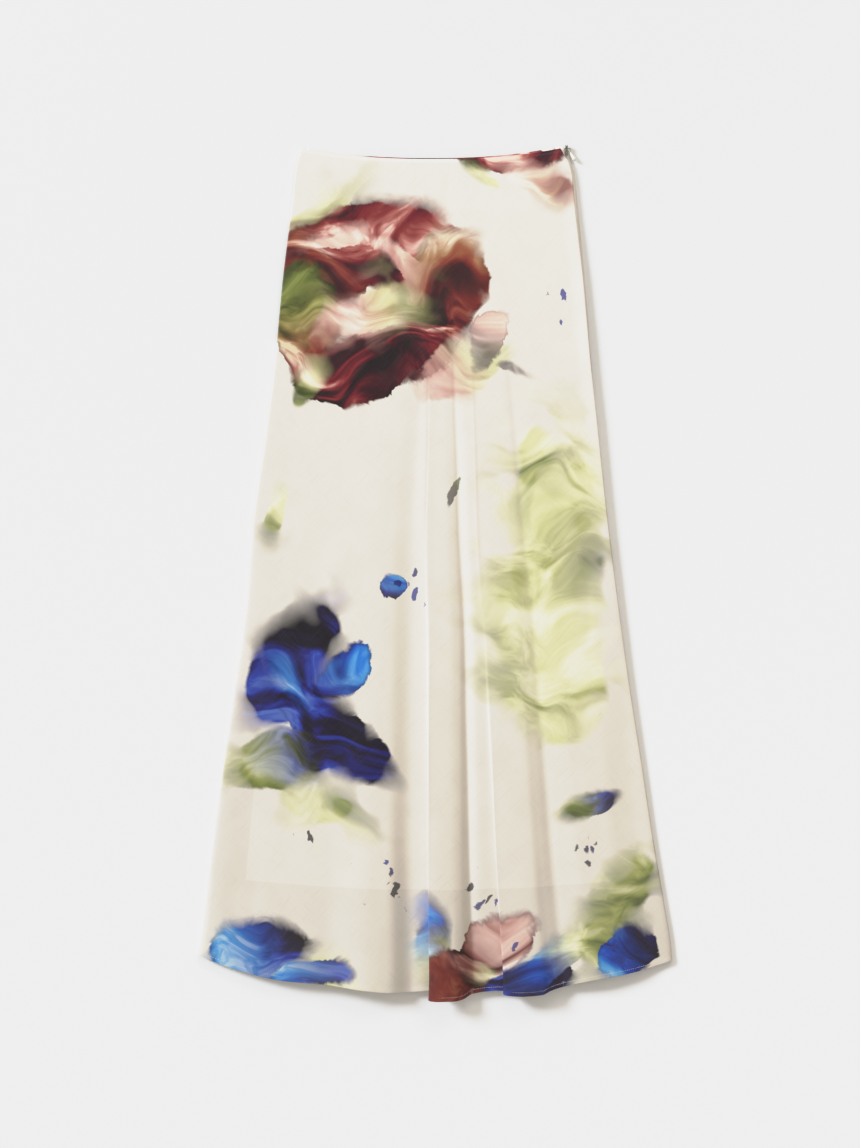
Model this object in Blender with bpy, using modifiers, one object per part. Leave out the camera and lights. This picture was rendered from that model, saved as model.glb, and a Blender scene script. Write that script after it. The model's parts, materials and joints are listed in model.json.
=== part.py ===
"""Maxi skirt in printed satin twill, laid flat with its front up.

Frame: metres. The skirt lies in the XY plane on z = 0, with its waist towards +Y and the
side that has the zip towards +X. The origin is on the back panel's flat underside.

The skirt is an A-line of two panels, with a loose lining that is shorter and straighter, a
narrow turned hem, a facing inside the back of the waist and a concealed zip in one side.
From the hips down the front rises off the back in flutes that run to the hem. Two of them
lean over the cloth to their left, so that it tucks in under their edges.
"""
import math
from collections import namedtuple

import bmesh
import bpy
from mathutils import Matrix, Vector

MM = 0.001
COLLECTION = "maxi_skirt"

# Cloth and the layers that it lies in, from the floor up
SEAM_GAP = 0.3 * MM
SHELL_CLOTH = 1.2 * MM
INNER_CLOTH = 1.0 * MM
LAYER_1 = SHELL_CLOTH + SEAM_GAP                 # back facing, back lining, back hem, back tape
LAYER_2 = LAYER_1 + INNER_CLOTH + SEAM_GAP       # front lining, front tape
LAYER_3 = LAYER_2 + INNER_CLOTH + SEAM_GAP       # the front panel where it lies flat

# Outline: the waist and hem corners, how deep the waist dips and how far the back differs
WAIST_Y = 511.2 * MM
WAIST_DIP = 12.6 * MM
WAIST_DIP_POWER = 2.4
HEM_LEFT_Y = -454.4 * MM
HEM_RIGHT_Y = -461.1 * MM
BACK_WAIST_RISE = 1.6 * MM
BACK_HEM_SHORT = 5.5 * MM
BACK_HEM_DROP = 41.0 * MM
BACK_HEM_POWER = 2.2

# Sections of the skirt, from the waist to the hem: how far down, the panels' left edge and
# the back's right edge, how far the front's right edge stands back from that, the height of
# the front's underside at its right edge and at the rolled sides, and rows to the next one.
Section = namedtuple("Section", "down left right stand_back rim left_roll right_roll rows")
SECTIONS = (
    Section(0.000, -160.6, 158.1, 9.0, 4.5, 4.1, 4.6, 1),
    Section(0.008, -162.8, 159.4, 6.2, 4.5, 4.1, 4.6, 1),
    Section(0.018, -166.2, 162.7, 3.2, 4.5, 4.1, 4.6, 1),
    Section(0.032, -168.2, 166.8, 3.6, 4.5, 4.1, 4.7, 1),
    Section(0.064, -171.2, 169.9, 4.0, 4.5, 4.1, 5.1, 3),
    Section(0.163, -182.8, 178.7, 2.0, 4.5, 4.1, 6.3, 3),
    Section(0.263, -192.1, 186.4, 1.0, 4.2, 4.1, 7.4, 3),
    Section(0.362, -204.0, 195.3, -0.6, 1.9, 4.0, 7.2, 3),
    Section(0.461, -218.0, 205.7, -0.6, 1.9, 3.8, 6.6, 3),
    Section(0.561, -225.4, 218.1, -0.6, 1.9, 3.6, 5.8, 3),
    Section(0.660, -238.7, 231.4, -0.6, 1.9, 3.4, 4.9, 3),
    Section(0.759, -252.5, 246.4, -0.6, 1.9, 3.2, 4.0, 3),
    Section(0.859, -265.8, 261.1, -0.6, 1.9, 3.0, 3.4, 3),
    Section(0.934, -274.6, 273.5, -0.6, 1.9, 3.0, 3.2, 2),
    Section(0.980, -280.1, 280.8, -0.6, 1.9, 3.0, 3.2, 1),
    Section(1.000, -283.1, 282.5, -0.6, 1.9, 3.0, 3.2, 0),
)
LEFT_RIM = 1.9 * MM          # the underside of the left edge, over the back
TUCKED = 0.3                 # how far the rolled sides turn in, against their height
SIDE_INSET = 0.7 * MM        # from the outline to the rolled sides' inner face
MIDDLE = 0.55                # how far down the folds' middle heights are given
LEAST_RISE = 0.12            # or this much below the place where they begin, if that is lower
LOW = 0.86                   # how far down their lower heights are given

# Lines that run down the front: where each starts across the waist and ends across the hem
# (0 the left edge, 1 the right), its place on the hem's curve, how far down it starts to
# lift, how far it lifts at the middle, low and at the hem, how far it leans to the right at
# the middle and at the hem, in mm, and the columns to the next line. The tucked lines lie
# under the folded edges that follow them.
Line = namedtuple("Line", "name waist hem hem_y begins lift_mid lift_low lift_hem lean_mid "
                          "lean_hem columns")
LINES = (
    Line("left_edge", 0.000, 0.000, -454.4, 1.00, 0.0, 0.0, 0.0, 0.0, 0.0, 2),
    Line("left_roll", 0.000, 0.000, -454.7, 1.00, 0.0, 0.0, 0.0, 0.0, 0.0, 5),
    Line("left_rise", 0.100, 0.078, -472.3, 0.25, 0.6, 1.4, 4.7, 0.0, 0.0, 3),
    Line("left_swell", 0.190, 0.178, -485.1, 0.22, 1.6, 3.6, 8.7, 0.0, 0.0, 2),
    Line("left_dip", 0.265, 0.260, -489.4, 0.20, 2.8, 5.4, 9.2, 0.0, 0.0, 3),
    Line("soft_ridge", 0.368, 0.356, -496.6, 0.16, 4.0, 8.8, 16.8, -6.0, 0.0, 2),
    Line("soft_brow", 0.412, 0.400, -498.8, 0.16, 3.4, 8.0, 14.4, -7.0, 0.0, 3),
    Line("soft_valley", 0.456, 0.450, -499.1, 0.18, 0.2, 0.2, 3.4, -4.6, 0.0, 2),
    Line("under_fold_1", 0.476, 0.488, -497.6, 0.14, 2.8, 1.2, 4.4, 0.0, 0.0, 2),
    Line("tuck_1", 0.484, 0.496, -501.2, 0.14, 3.6, 5.2, 10.8, -2.4, 1.4, 2),
    Line("edge_1", 0.491, 0.488, -506.9, 0.14, 4.4, 9.0, 18.0, 0.2, -1.6, 3),
    Line("crest_1", 0.512, 0.502, -508.5, 0.14, 4.1, 9.9, 20.4, 0.6, 0.0, 2),
    Line("brow_1", 0.530, 0.538, -508.4, 0.14, 3.8, 8.6, 17.8, 5.0, 0.0, 2),
    Line("flank_1", 0.545, 0.557, -506.7, 0.14, 2.2, 5.6, 11.6, 7.4, 0.0, 2),
    Line("foot_1", 0.562, 0.572, -501.6, 0.20, 0.0, 0.2, 3.6, 8.0, 2.4, 2),
    Line("mid_valley", 0.588, 0.602, -498.9, 0.14, 3.2, 2.2, 2.8, 6.6, 0.0, 2),
    Line("under_fold_2", 0.606, 0.638, -497.6, 0.14, 3.9, 2.0, 4.2, 3.0, 0.0, 1),
    Line("tuck_2", 0.616, 0.650, -498.4, 0.14, 4.2, 3.4, 7.0, 0.4, 0.8, 2),
    Line("edge_2", 0.624, 0.645, -500.5, 0.14, 4.5, 7.2, 13.8, 3.0, -1.2, 3),
    Line("crest_2", 0.656, 0.676, -502.8, 0.14, 4.8, 7.6, 16.4, 3.0, 0.0, 2),
    Line("brow_2", 0.697, 0.724, -501.1, 0.14, 4.4, 6.4, 14.6, 5.6, 0.0, 2),
    Line("flank_2", 0.716, 0.742, -496.4, 0.14, 3.0, 3.4, 9.7, 7.4, 1.4, 2),
    Line("right_valley", 0.736, 0.768, -492.4, 0.20, 1.4, 0.6, 6.0, 7.4, 1.4, 3),
    Line("right_ridge", 0.820, 0.835, -484.3, 0.14, 2.6, 2.6, 10.0, 4.0, 0.0, 3),
    Line("right_swell", 0.900, 0.905, -477.0, 0.12, 2.4, 2.0, 7.4, 0.0, 0.0, 2),
    Line("right_rise", 0.955, 0.963, -468.7, 0.10, 2.2, -0.2, 1.6, 0.0, 0.0, 3),
    Line("right_roll", 1.000, 1.000, -461.4, 1.00, 0.0, 0.0, 0.0, 0.0, 0.0, 2),
    Line("right_edge", 1.000, 1.000, -461.1, 1.00, 0.0, 0.0, 0.0, 0.0, 0.0, 0),
)

# Inner pieces
HEM_DEPTH = 6.0 * MM
HEM_INSET = 0.5 * MM
HEM_END = 16.0 * MM                  # the hem's inner layer stops this far from the sides
FACING_DEPTH = 35.0 * MM
FACING_BELOW_WAIST = 0.2 * MM
FACING_INSET = 6.0 * MM              # from the left side, where the front comes down to the back
LINING_HALF_WAIST = 147.5 * MM
LINING_HALF_HEM = 227.6 * MM
LINING_HEM_Y = -365.0 * MM
LINING_HEM_DROP = 11.5 * MM
LINING_TOP_BELOW_WAIST = 4.0 * MM

# Zip: two tapes and the coil's edge between them, the slider and its pull
ZIP_LENGTH = 220.0 * MM
TAPE_TOP_Y = 513.4 * MM
TAPE_WIDTH = 10.0 * MM
TAPE_INSET = 2.2 * MM                # from the back panel's edge, below the slider
TAPE_INSET_AT_SLIDER = 4.6 * MM
SLIDER_ENDS = 0.011                  # how far down the skirt the tapes turn out again
TAPE_TURNED = 0.022                  # and where they are back at their usual inset
TAPE_BEND = 34.0 * MM                # the top stretch of the tapes, which has closer rows
TAPE_SEAM = 0.7 * MM                 # between the tapes and the cloth that is sewn to them
SLIDER_SIZE = Vector((3.2, 12.2, 4.8)) * MM
SLIDER_BEVEL = 0.7 * MM
BRIDGE_RADIUS = 2.0 * MM
BRIDGE_WIRE = 0.5 * MM
BRIDGE_STAND = 1.0 * MM              # from the slider's outer face to the bridge's centre
BRIDGE_ROOT = 0.8 * MM               # how far its legs reach into the slider
PULL_PIVOT = Vector((159.4, 509.2, 4.0)) * MM
PULL_REST = math.radians(31.0)       # swung out from the seam
PULL_LENGTH = 14.8 * MM
PULL_EYE_RADIUS = 1.65 * MM
PULL_EYE_HOLE = 0.85 * MM
PULL_EYE_THICKNESS = 1.1 * MM
PULL_TOP = 2.7 * MM                  # where the teardrop begins, inside its eye
PullRing = namedtuple("PullRing", "along radius")
PULL_PROFILE = (
    PullRing(3.0, 0.55), PullRing(4.2, 0.95), PullRing(6.5, 1.35), PullRing(9.0, 1.90),
    PullRing(11.0, 2.22), PullRing(12.6, 2.15), PullRing(13.9, 1.55), PullRing(14.6, 0.70),
)


def smooth(knots, values):
    """A curve through the values that never overshoots them (monotone cubic)."""
    steps = [b - a for a, b in zip(knots, knots[1:])]
    slopes = [(b - a) / h for a, b, h in zip(values, values[1:], steps)]
    tangents = [slopes[0]]
    for before, after, h0, h1 in zip(slopes, slopes[1:], steps, steps[1:]):
        if before * after <= 0:
            tangents.append(0.0)
        else:
            w0, w1 = 2 * h1 + h0, h1 + 2 * h0
            tangents.append((w0 + w1) / (w0 / before + w1 / after))
    tangents.append(slopes[-1])

    def at(t):
        t = min(max(t, knots[0]), knots[-1])
        k = max(i for i in range(len(steps)) if knots[i] <= t)
        h = steps[k]
        s = (t - knots[k]) / h
        return (values[k] * (1 + 2 * s) * (1 - s) ** 2 + tangents[k] * h * s * (1 - s) ** 2
                + values[k + 1] * s * s * (3 - 2 * s) + tangents[k + 1] * h * s * s * (s - 1))
    return at


def section_curve(field):
    """One of the sections' columns as a smooth curve down the skirt, in metres."""
    return smooth([s.down for s in SECTIONS], [getattr(s, field) * MM for s in SECTIONS])


left_edge = section_curve("left")
back_right_edge = section_curve("right")
stand_back = section_curve("stand_back")
right_rim = section_curve("rim")
left_roll = section_curve("left_roll")
right_roll = section_curve("right_roll")


def waist_y(across):
    """The waist's edge, which dips between the corners of the laid skirt."""
    return WAIST_Y - WAIST_DIP * (1 - abs(2 * across - 1) ** WAIST_DIP_POWER)


def down_at(y):
    """How far down the skirt a height on its left side is."""
    return (WAIST_Y - y) / (WAIST_Y - HEM_LEFT_Y)


def growth(line):
    """How far a line lifts and leans, as curves down the skirt."""
    if line.begins >= 1:
        return (lambda down: 0.0), (lambda down: 0.0)
    middle = max(MIDDLE, line.begins + LEAST_RISE)
    lift = smooth([0.0, line.begins, middle, LOW, 1.0],
                  [0.0, 0.0, line.lift_mid * MM, line.lift_low * MM, line.lift_hem * MM])
    lean = smooth([0.0, line.begins, middle, 1.0],
                  [0.0, 0.0, line.lean_mid * MM, line.lean_hem * MM])
    return lift, lean


GROWTHS = [growth(line) for line in LINES]


def line_point(index, down):
    """A point on the front's underside where one of its lines crosses a section."""
    line = LINES[index]
    lift, lean = GROWTHS[index]
    across = line.waist + (line.hem - line.waist) * down
    left = left_edge(down) + SIDE_INSET
    right = back_right_edge(down) - stand_back(down) - SIDE_INSET
    x = left + (right - left) * across + lean(down)
    y = waist_y(across) * (1 - down) + line.hem_y * MM * down
    left_top, right_top = left_roll(down), right_roll(down)
    aside, z = {
        "left_edge": (TUCKED * (left_top - LEFT_RIM), LEFT_RIM),
        "left_roll": (0.0, left_top),
        "right_roll": (0.0, right_top),
        "right_edge": (TUCKED * (right_rim(down) - right_top), right_rim(down)),
    }.get(line.name, (0.0, LAYER_3))
    return Vector((x + aside, y, z + lift(down)))


def line_knots():
    """How far along the hem's cloth each line lies, from the left edge."""
    points = [line_point(i, 1.0) for i in range(len(LINES))]
    knots = [0.0]
    for a, b in zip(points, points[1:]):
        knots.append(knots[-1] + (b - a).length)
    return knots


KNOTS = line_knots()


def front_section(down):
    """The front's underside along one section, as a function of the place along the cloth."""
    points = [line_point(i, down) for i in range(len(LINES))]
    curves = [smooth(KNOTS, [p[axis] for p in points]) for axis in range(3)]
    return lambda along: Vector(c(along) for c in curves)


def spaced(marks, counts):
    """The marks with evenly spaced stops between them."""
    stops = [marks[0]]
    for a, b, count in zip(marks, marks[1:], counts):
        stops += [a + (b - a) * k / count for k in range(1, count + 1)]
    return stops


def even(low, high, count):
    return [low + (high - low) * k / (count - 1) for k in range(count)]


def cloth(name, rows, thickness, material, side=1):
    """A wall of cloth: a sheet whose rows run from the waist down, thickened to one side."""
    row_count, column_count = len(rows), len(rows[0])
    bm = bmesh.new()
    bmesh.ops.create_grid(bm, x_segments=column_count - 1, y_segments=row_count - 1, size=0.5)
    for vert in bm.verts:
        column = round((vert.co.x + 0.5) * (column_count - 1))
        row = round((0.5 - vert.co.y) * (row_count - 1))
        vert.co = rows[row][column]
    mesh = bpy.data.meshes.new(name)
    bm.to_mesh(mesh)
    bm.free()
    mesh.shade_smooth()
    mesh.set_sharp_from_angle(angle=math.radians(50))
    mesh.materials.append(material)
    obj = bpy.data.objects.new(name, mesh)
    PARTS.objects.link(obj)
    solidify = obj.modifiers.new("wall", "SOLIDIFY")
    solidify.thickness = thickness
    solidify.offset = side
    return obj


def material(name, colour, roughness, metallic=0.0):
    mat = bpy.data.materials.new(name)
    mat.use_nodes = True
    shader = mat.node_tree.nodes["Principled BSDF"]
    shader.inputs["Base Color"].default_value = (*colour, 1.0)
    shader.inputs["Roughness"].default_value = roughness
    shader.inputs["Metallic"].default_value = metallic
    return mat


def front_panel(satin):
    stops = spaced(KNOTS, [line.columns for line in LINES])
    downs = spaced([s.down for s in SECTIONS], [s.rows for s in SECTIONS])
    rows = []
    for down in downs:
        section = front_section(down)
        rows.append([section(along) for along in stops])
    return cloth("front_panel", rows, SHELL_CLOTH, satin)


def below_front(along, down, depth):
    """A point under the front's cloth, square to it."""
    step = 0.5 * MM
    here = front_section(down)
    point = here(along)
    across = here(along + step) - here(along - step)
    length = WAIST_Y - HEM_LEFT_Y
    up = front_section(down - step / length)(along) - point
    return point - across.cross(up).normalized() * depth


def front_hem(satin):
    """The turned edge under the front's hem, made from the front's own points, moved in."""
    length = WAIST_Y - HEM_LEFT_Y
    stops = spaced(KNOTS, [line.columns for line in LINES])
    stops = [HEM_END] + [s for s in stops if HEM_END < s < KNOTS[-1] - HEM_END]
    stops.append(KNOTS[-1] - HEM_END)
    rows = []
    for above_edge in (HEM_INSET + HEM_DEPTH, HEM_INSET + HEM_DEPTH / 2, HEM_INSET):
        down = 1 - above_edge / length
        rows.append([below_front(along, down, SEAM_GAP) for along in stops])
    return cloth("front_hem", rows, INNER_CLOTH, satin, side=-1)


def back_hem_y(across):
    straight = HEM_LEFT_Y + (HEM_RIGHT_Y - HEM_LEFT_Y) * across + BACK_HEM_SHORT
    return straight - BACK_HEM_DROP * (1 - abs(2 * across - 1) ** BACK_HEM_POWER)


def back_point(across, down, z, inset=0.0):
    """A point of the flat back, or of a layer on it that stops short of its sides."""
    left, right = left_edge(down) + inset, back_right_edge(down) - inset
    y = (waist_y(across) + BACK_WAIST_RISE) * (1 - down) + back_hem_y(across) * down
    return Vector((left + (right - left) * across, y, z))


def back_panel(satin):
    downs = spaced([s.down for s in SECTIONS], [max(1, s.rows // 3) for s in SECTIONS])
    rows = [[back_point(a, down, 0.0) for a in even(0, 1, 21)] for down in downs]
    return cloth("back_panel", rows, SHELL_CLOTH, satin)


def back_hem(satin):
    length = WAIST_Y - HEM_LEFT_Y
    rows = []
    for above_edge in (HEM_INSET + HEM_DEPTH, HEM_INSET):
        down = 1 - above_edge / length
        rows.append([back_point(a, down, LAYER_1, HEM_END) for a in even(0, 1, 21)])
    return cloth("back_hem", rows, INNER_CLOTH, satin)


tape_inset = smooth([0.0, SLIDER_ENDS, TAPE_TURNED, 1.0],
                    [TAPE_INSET_AT_SLIDER, TAPE_INSET_AT_SLIDER, TAPE_INSET, TAPE_INSET])


def tape_edge(down):
    """The outer edge of the zip's tapes, which make room for the slider at the top."""
    return back_right_edge(down) - tape_inset(down)


def inside_tape(down):
    """Where the facing and the lining end, beside the tapes."""
    return tape_edge(down) - TAPE_WIDTH - TAPE_SEAM


def back_waist_facing(satin):
    """The facing inside the back's waist, whose top edge shows past the front's."""
    rows = []
    for below_waist in even(FACING_BELOW_WAIST, FACING_DEPTH, 8):
        down = max(0.0, down_at(WAIST_Y + BACK_WAIST_RISE - below_waist))
        left, right = left_edge(down) + FACING_INSET, inside_tape(down)
        rows.append([Vector((left + (right - left) * a,
                             waist_y(a) + BACK_WAIST_RISE - below_waist, LAYER_1))
                     for a in even(0, 1, 17)])
    return cloth("back_waist_facing", rows, INNER_CLOTH, satin)


def lining(name, z, below_waist, voile):
    """A lining panel: straighter than the skirt, and shorter."""
    rows = []
    for fraction in even(0, 1, 15):
        row = []
        for across in even(0, 1, 13):
            top = waist_y(across) - below_waist
            hem = LINING_HEM_Y - LINING_HEM_DROP * (1 - abs(2 * across - 1) ** 2)
            y = top + (hem - top) * fraction
            flare = (WAIST_Y - y) / (WAIST_Y - LINING_HEM_Y)
            half = LINING_HALF_WAIST + (LINING_HALF_HEM - LINING_HALF_WAIST) * flare
            right = min(inside_tape(down_at(y)), half)
            row.append(Vector((-half + (right + half) * across, y, z)))
        rows.append(row)
    return cloth(name, rows, INNER_CLOTH, voile)


def zip_tape(name, z, tape):
    rows = []
    ends = even(0, 1, 5)
    for y in spaced([TAPE_TOP_Y, TAPE_TOP_Y - TAPE_BEND, TAPE_TOP_Y - ZIP_LENGTH], [6, 5]):
        outer = tape_edge(max(down_at(y), 0.0))
        rows.append([Vector((outer - TAPE_WIDTH * (1 - a), y, z)) for a in ends])
    return cloth(name, rows, INNER_CLOTH, tape)


def mesh_object(name, bm, collection, mat=None):
    mesh = bpy.data.meshes.new(name)
    bm.to_mesh(mesh)
    bm.free()
    if mat:
        mesh.materials.append(mat)
    obj = bpy.data.objects.new(name, mesh)
    collection.objects.link(obj)
    return obj


def combine(obj, other, operation):
    boolean = obj.modifiers.new(operation.lower(), "BOOLEAN")
    boolean.operation = operation
    boolean.object = other
    boolean.solver = "EXACT"


def hide_cutter(obj):
    obj.hide_render = True
    obj.display_type = "WIRE"


def bridge():
    """The slider's bent wire bridge, which the pull's eye slides round, as a mesh."""
    curve = bpy.data.curves.new("zip_bridge", "CURVE")
    curve.dimensions = "3D"
    curve.bevel_depth = BRIDGE_WIRE
    curve.bevel_resolution = 2
    curve.use_fill_caps = True
    leg = Vector((-BRIDGE_STAND - BRIDGE_ROOT, BRIDGE_RADIUS, 0))
    arc = [Vector((math.cos(a), math.sin(a), 0)) * BRIDGE_RADIUS
           for a in (math.radians(90 - 18 * k) for k in range(11))]
    points = [leg] + arc + [Vector((leg.x, -leg.y, 0))]
    spline = curve.splines.new("POLY")
    spline.points.add(len(points) - 1)
    for target, point in zip(spline.points, points):
        target.co = (*(point + PULL_PIVOT), 1.0)
    wire = bpy.data.objects.new("zip_bridge", curve)
    CUTTERS.objects.link(wire)
    bpy.context.view_layer.update()
    mesh = bpy.data.meshes.new_from_object(wire.evaluated_get(bpy.context.evaluated_depsgraph_get()))
    bm = bmesh.new()
    bm.from_mesh(mesh)
    bmesh.ops.remove_doubles(bm, verts=bm.verts, dist=0.01 * MM)
    solid = mesh_object("zip_bridge_solid", bm, CUTTERS)
    bpy.data.objects.remove(wire)
    hide_cutter(solid)
    return solid


def zip_slider(metal):
    bm = bmesh.new()
    bmesh.ops.create_cube(bm, size=1.0)
    bmesh.ops.scale(bm, vec=SLIDER_SIZE, verts=bm.verts)
    bmesh.ops.bevel(bm, geom=bm.edges[:], offset=SLIDER_BEVEL, segments=2, affect="EDGES",
                    profile=0.5, material=-1)
    centre = PULL_PIVOT - Vector((BRIDGE_STAND + SLIDER_SIZE.x / 2, 0, 0))
    bmesh.ops.translate(bm, vec=centre, verts=bm.verts)
    slider = mesh_object("zip_slider", bm, PARTS, metal)
    combine(slider, bridge(), "UNION")
    return slider


def zip_pull(enamel):
    """The teardrop pull, drawn hanging along the seam from its pivot, then swung out."""
    bm = bmesh.new()
    previous = None
    profile = [bm.verts.new((ring.radius * MM, -ring.along * MM, 0)) for ring in PULL_PROFILE]
    top = bm.verts.new((0, -PULL_TOP, 0))
    tip = bm.verts.new((0, -PULL_LENGTH, 0))
    for vert in [top] + profile + [tip]:
        if previous:
            bm.edges.new((previous, vert))
        previous = vert
    bmesh.ops.spin(bm, geom=bm.verts[:] + bm.edges[:], cent=(0, 0, 0), axis=(0, 1, 0),
                   angle=math.tau, steps=18, use_merge=True)
    bmesh.ops.remove_doubles(bm, verts=bm.verts, dist=0.01 * MM)
    bmesh.ops.recalc_face_normals(bm, faces=bm.faces)
    pull = mesh_object("zip_pull", bm, PARTS, enamel)
    pull.data.shade_smooth()

    for name, radius, length, operation in (
            ("pull_eye", PULL_EYE_RADIUS, PULL_EYE_THICKNESS, "UNION"),
            ("pull_hole", PULL_EYE_HOLE, 4 * MM, "DIFFERENCE")):
        tool = bmesh.new()
        bmesh.ops.create_cone(tool, cap_ends=True, segments=20, radius1=radius, radius2=radius,
                              depth=length, matrix=Matrix.Rotation(math.pi / 2, 4, "Y"))
        bmesh.ops.translate(tool, vec=(0, -BRIDGE_RADIUS, 0), verts=tool.verts)
        cutter = mesh_object(name, tool, CUTTERS)
        hide_cutter(cutter)
        cutter.parent = pull
        combine(pull, cutter, operation)
    pull.location = PULL_PIVOT
    pull.rotation_euler.z = PULL_REST
    return pull


def new_collection(name):
    collection = bpy.data.collections.new(name)
    bpy.context.scene.collection.children.link(collection)
    return collection


for old in list(bpy.data.objects):
    bpy.data.objects.remove(old)
PARTS = new_collection(COLLECTION)
CUTTERS = new_collection("cutters")

printed_satin = material("printed_satin", (0.80, 0.76, 0.68), 0.55)
inner_satin = material("inner_satin", (0.45, 0.12, 0.14), 0.6)
lining_voile = material("lining_voile", (0.86, 0.83, 0.77), 0.7)
zip_cotton = material("zip_cotton", (0.85, 0.81, 0.73), 0.75)
slider_metal = material("slider_metal", (0.16, 0.15, 0.14), 0.4, metallic=1.0)
pull_enamel = material("pull_enamel", (0.87, 0.84, 0.76), 0.3)

front_panel(printed_satin)
back_panel(printed_satin)
front_hem(printed_satin)
back_hem(printed_satin)
back_waist_facing(inner_satin)
lining("front_lining", LAYER_2, LINING_TOP_BELOW_WAIST, lining_voile)
lining("back_lining", LAYER_1, FACING_DEPTH + 2 * SEAM_GAP, lining_voile)
zip_tape("zip_tape_front", LAYER_2, zip_cotton)
zip_tape("zip_tape_back", LAYER_1, zip_cotton)
zip_slider(slider_metal)
zip_pull(pull_enamel)
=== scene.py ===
"""Looks of a maxi skirt in printed satin twill, laid flat with its front up.

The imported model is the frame: metres, the waist towards +Y, the side with the zip towards +X
and the back's flat underside on z = 0. Each cloth here is a thin shell near its solid's form.
Patterns on cloth follow the flat cut: its UV map "cut" holds metres across from the panel's
middle and up from the frame's origin.
"""

import json
import math
from bisect import bisect_right
from collections import namedtuple
from functools import reduce

import bmesh
import bpy
from bpy.props import FloatProperty, FloatVectorProperty, IntProperty, PointerProperty
from mathutils import Matrix, Vector, noise


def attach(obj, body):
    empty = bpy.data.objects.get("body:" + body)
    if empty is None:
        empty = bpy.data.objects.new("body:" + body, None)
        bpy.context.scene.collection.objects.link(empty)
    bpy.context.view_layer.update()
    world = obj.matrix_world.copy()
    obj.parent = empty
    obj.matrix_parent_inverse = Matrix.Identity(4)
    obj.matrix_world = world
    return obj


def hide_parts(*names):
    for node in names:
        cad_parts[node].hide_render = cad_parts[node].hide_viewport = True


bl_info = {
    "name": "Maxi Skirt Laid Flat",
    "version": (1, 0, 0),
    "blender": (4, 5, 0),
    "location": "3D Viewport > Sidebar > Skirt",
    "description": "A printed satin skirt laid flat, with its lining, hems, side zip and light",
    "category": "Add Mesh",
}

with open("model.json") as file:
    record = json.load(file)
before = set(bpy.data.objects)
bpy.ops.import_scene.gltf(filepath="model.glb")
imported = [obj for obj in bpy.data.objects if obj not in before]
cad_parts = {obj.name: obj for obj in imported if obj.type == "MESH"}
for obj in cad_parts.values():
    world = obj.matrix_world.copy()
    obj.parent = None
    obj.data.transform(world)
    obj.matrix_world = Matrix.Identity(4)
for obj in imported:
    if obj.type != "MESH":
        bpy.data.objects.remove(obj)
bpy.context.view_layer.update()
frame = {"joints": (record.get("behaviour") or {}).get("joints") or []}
MM = 0.001

# ---------------------------------------------------------------- the form that the cloth lies in
# The layers, from the floor up: undersides of the solids' walls
LAYER_1 = 1.5 * MM                   # back facing, back lining, back hem, back tape
LAYER_2 = 2.8 * MM                   # front lining, front tape
LAYER_3 = 4.1 * MM                   # the front where it lies flat
SEAM_RIM = 1.9 * MM                  # the front's edge at a side seam
ZIP_RIM = 4.5 * MM                   # and over the zip

WAIST_Y = 511.2 * MM
WAIST_DIP = 12.6 * MM
WAIST_DIP_POWER = 2.4
HEM_LEFT_Y = -454.4 * MM
HEM_RIGHT_Y = -461.1 * MM
LENGTH = WAIST_Y - HEM_LEFT_Y
BACK_WAIST_RISE = 1.6 * MM
BACK_HEM_SHORT = 5.5 * MM
BACK_HEM_DROP = 41.0 * MM
BACK_HEM_POWER = 2.2

# Sections from the waist to the hem: how far down, the left edge and the back's right edge,
# how far the front's right edge stands back from that, and the height of the front's
# underside at its right edge and at the rolled sides.
Section = namedtuple("Section", "down left right stand_back rim left_roll right_roll")
SECTIONS = [Section(*row) for row in (
    (0.000, -160.6, 158.1, 9.0, 4.5, 4.1, 4.6),
    (0.008, -162.8, 159.4, 6.2, 4.5, 4.1, 4.6),
    (0.018, -166.2, 162.7, 3.2, 4.5, 4.1, 4.6),
    (0.032, -168.2, 166.8, 3.6, 4.5, 4.1, 4.7),
    (0.064, -171.2, 169.9, 4.0, 4.5, 4.1, 5.1),
    (0.163, -182.8, 178.7, 2.0, 4.5, 4.1, 6.3),
    (0.263, -192.1, 186.4, 1.0, 4.2, 4.1, 7.4),
    (0.362, -204.0, 195.3, -0.6, 1.9, 4.0, 7.2),
    (0.461, -218.0, 205.7, -0.6, 1.9, 3.8, 6.6),
    (0.561, -225.4, 218.1, -0.6, 1.9, 3.6, 5.8),
    (0.660, -238.7, 231.4, -0.6, 1.9, 3.4, 4.9),
    (0.759, -252.5, 246.4, -0.6, 1.9, 3.2, 4.0),
    (0.859, -265.8, 261.1, -0.6, 1.9, 3.0, 3.4),
    (0.934, -274.6, 273.5, -0.6, 1.9, 3.0, 3.2),
    (0.980, -280.1, 280.8, -0.6, 1.9, 3.0, 3.2),
    (1.000, -283.1, 282.5, -0.6, 1.9, 3.0, 3.2),
)]
TUCKED = 0.3                         # how far the rolled sides turn in, against their height
MIDDLE = 0.55                        # how far down the folds' middle heights are given
LEAST_RISE = 0.12                    # or this much below the place where they begin
LOW = 0.86                           # how far down their lower heights are given

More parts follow.
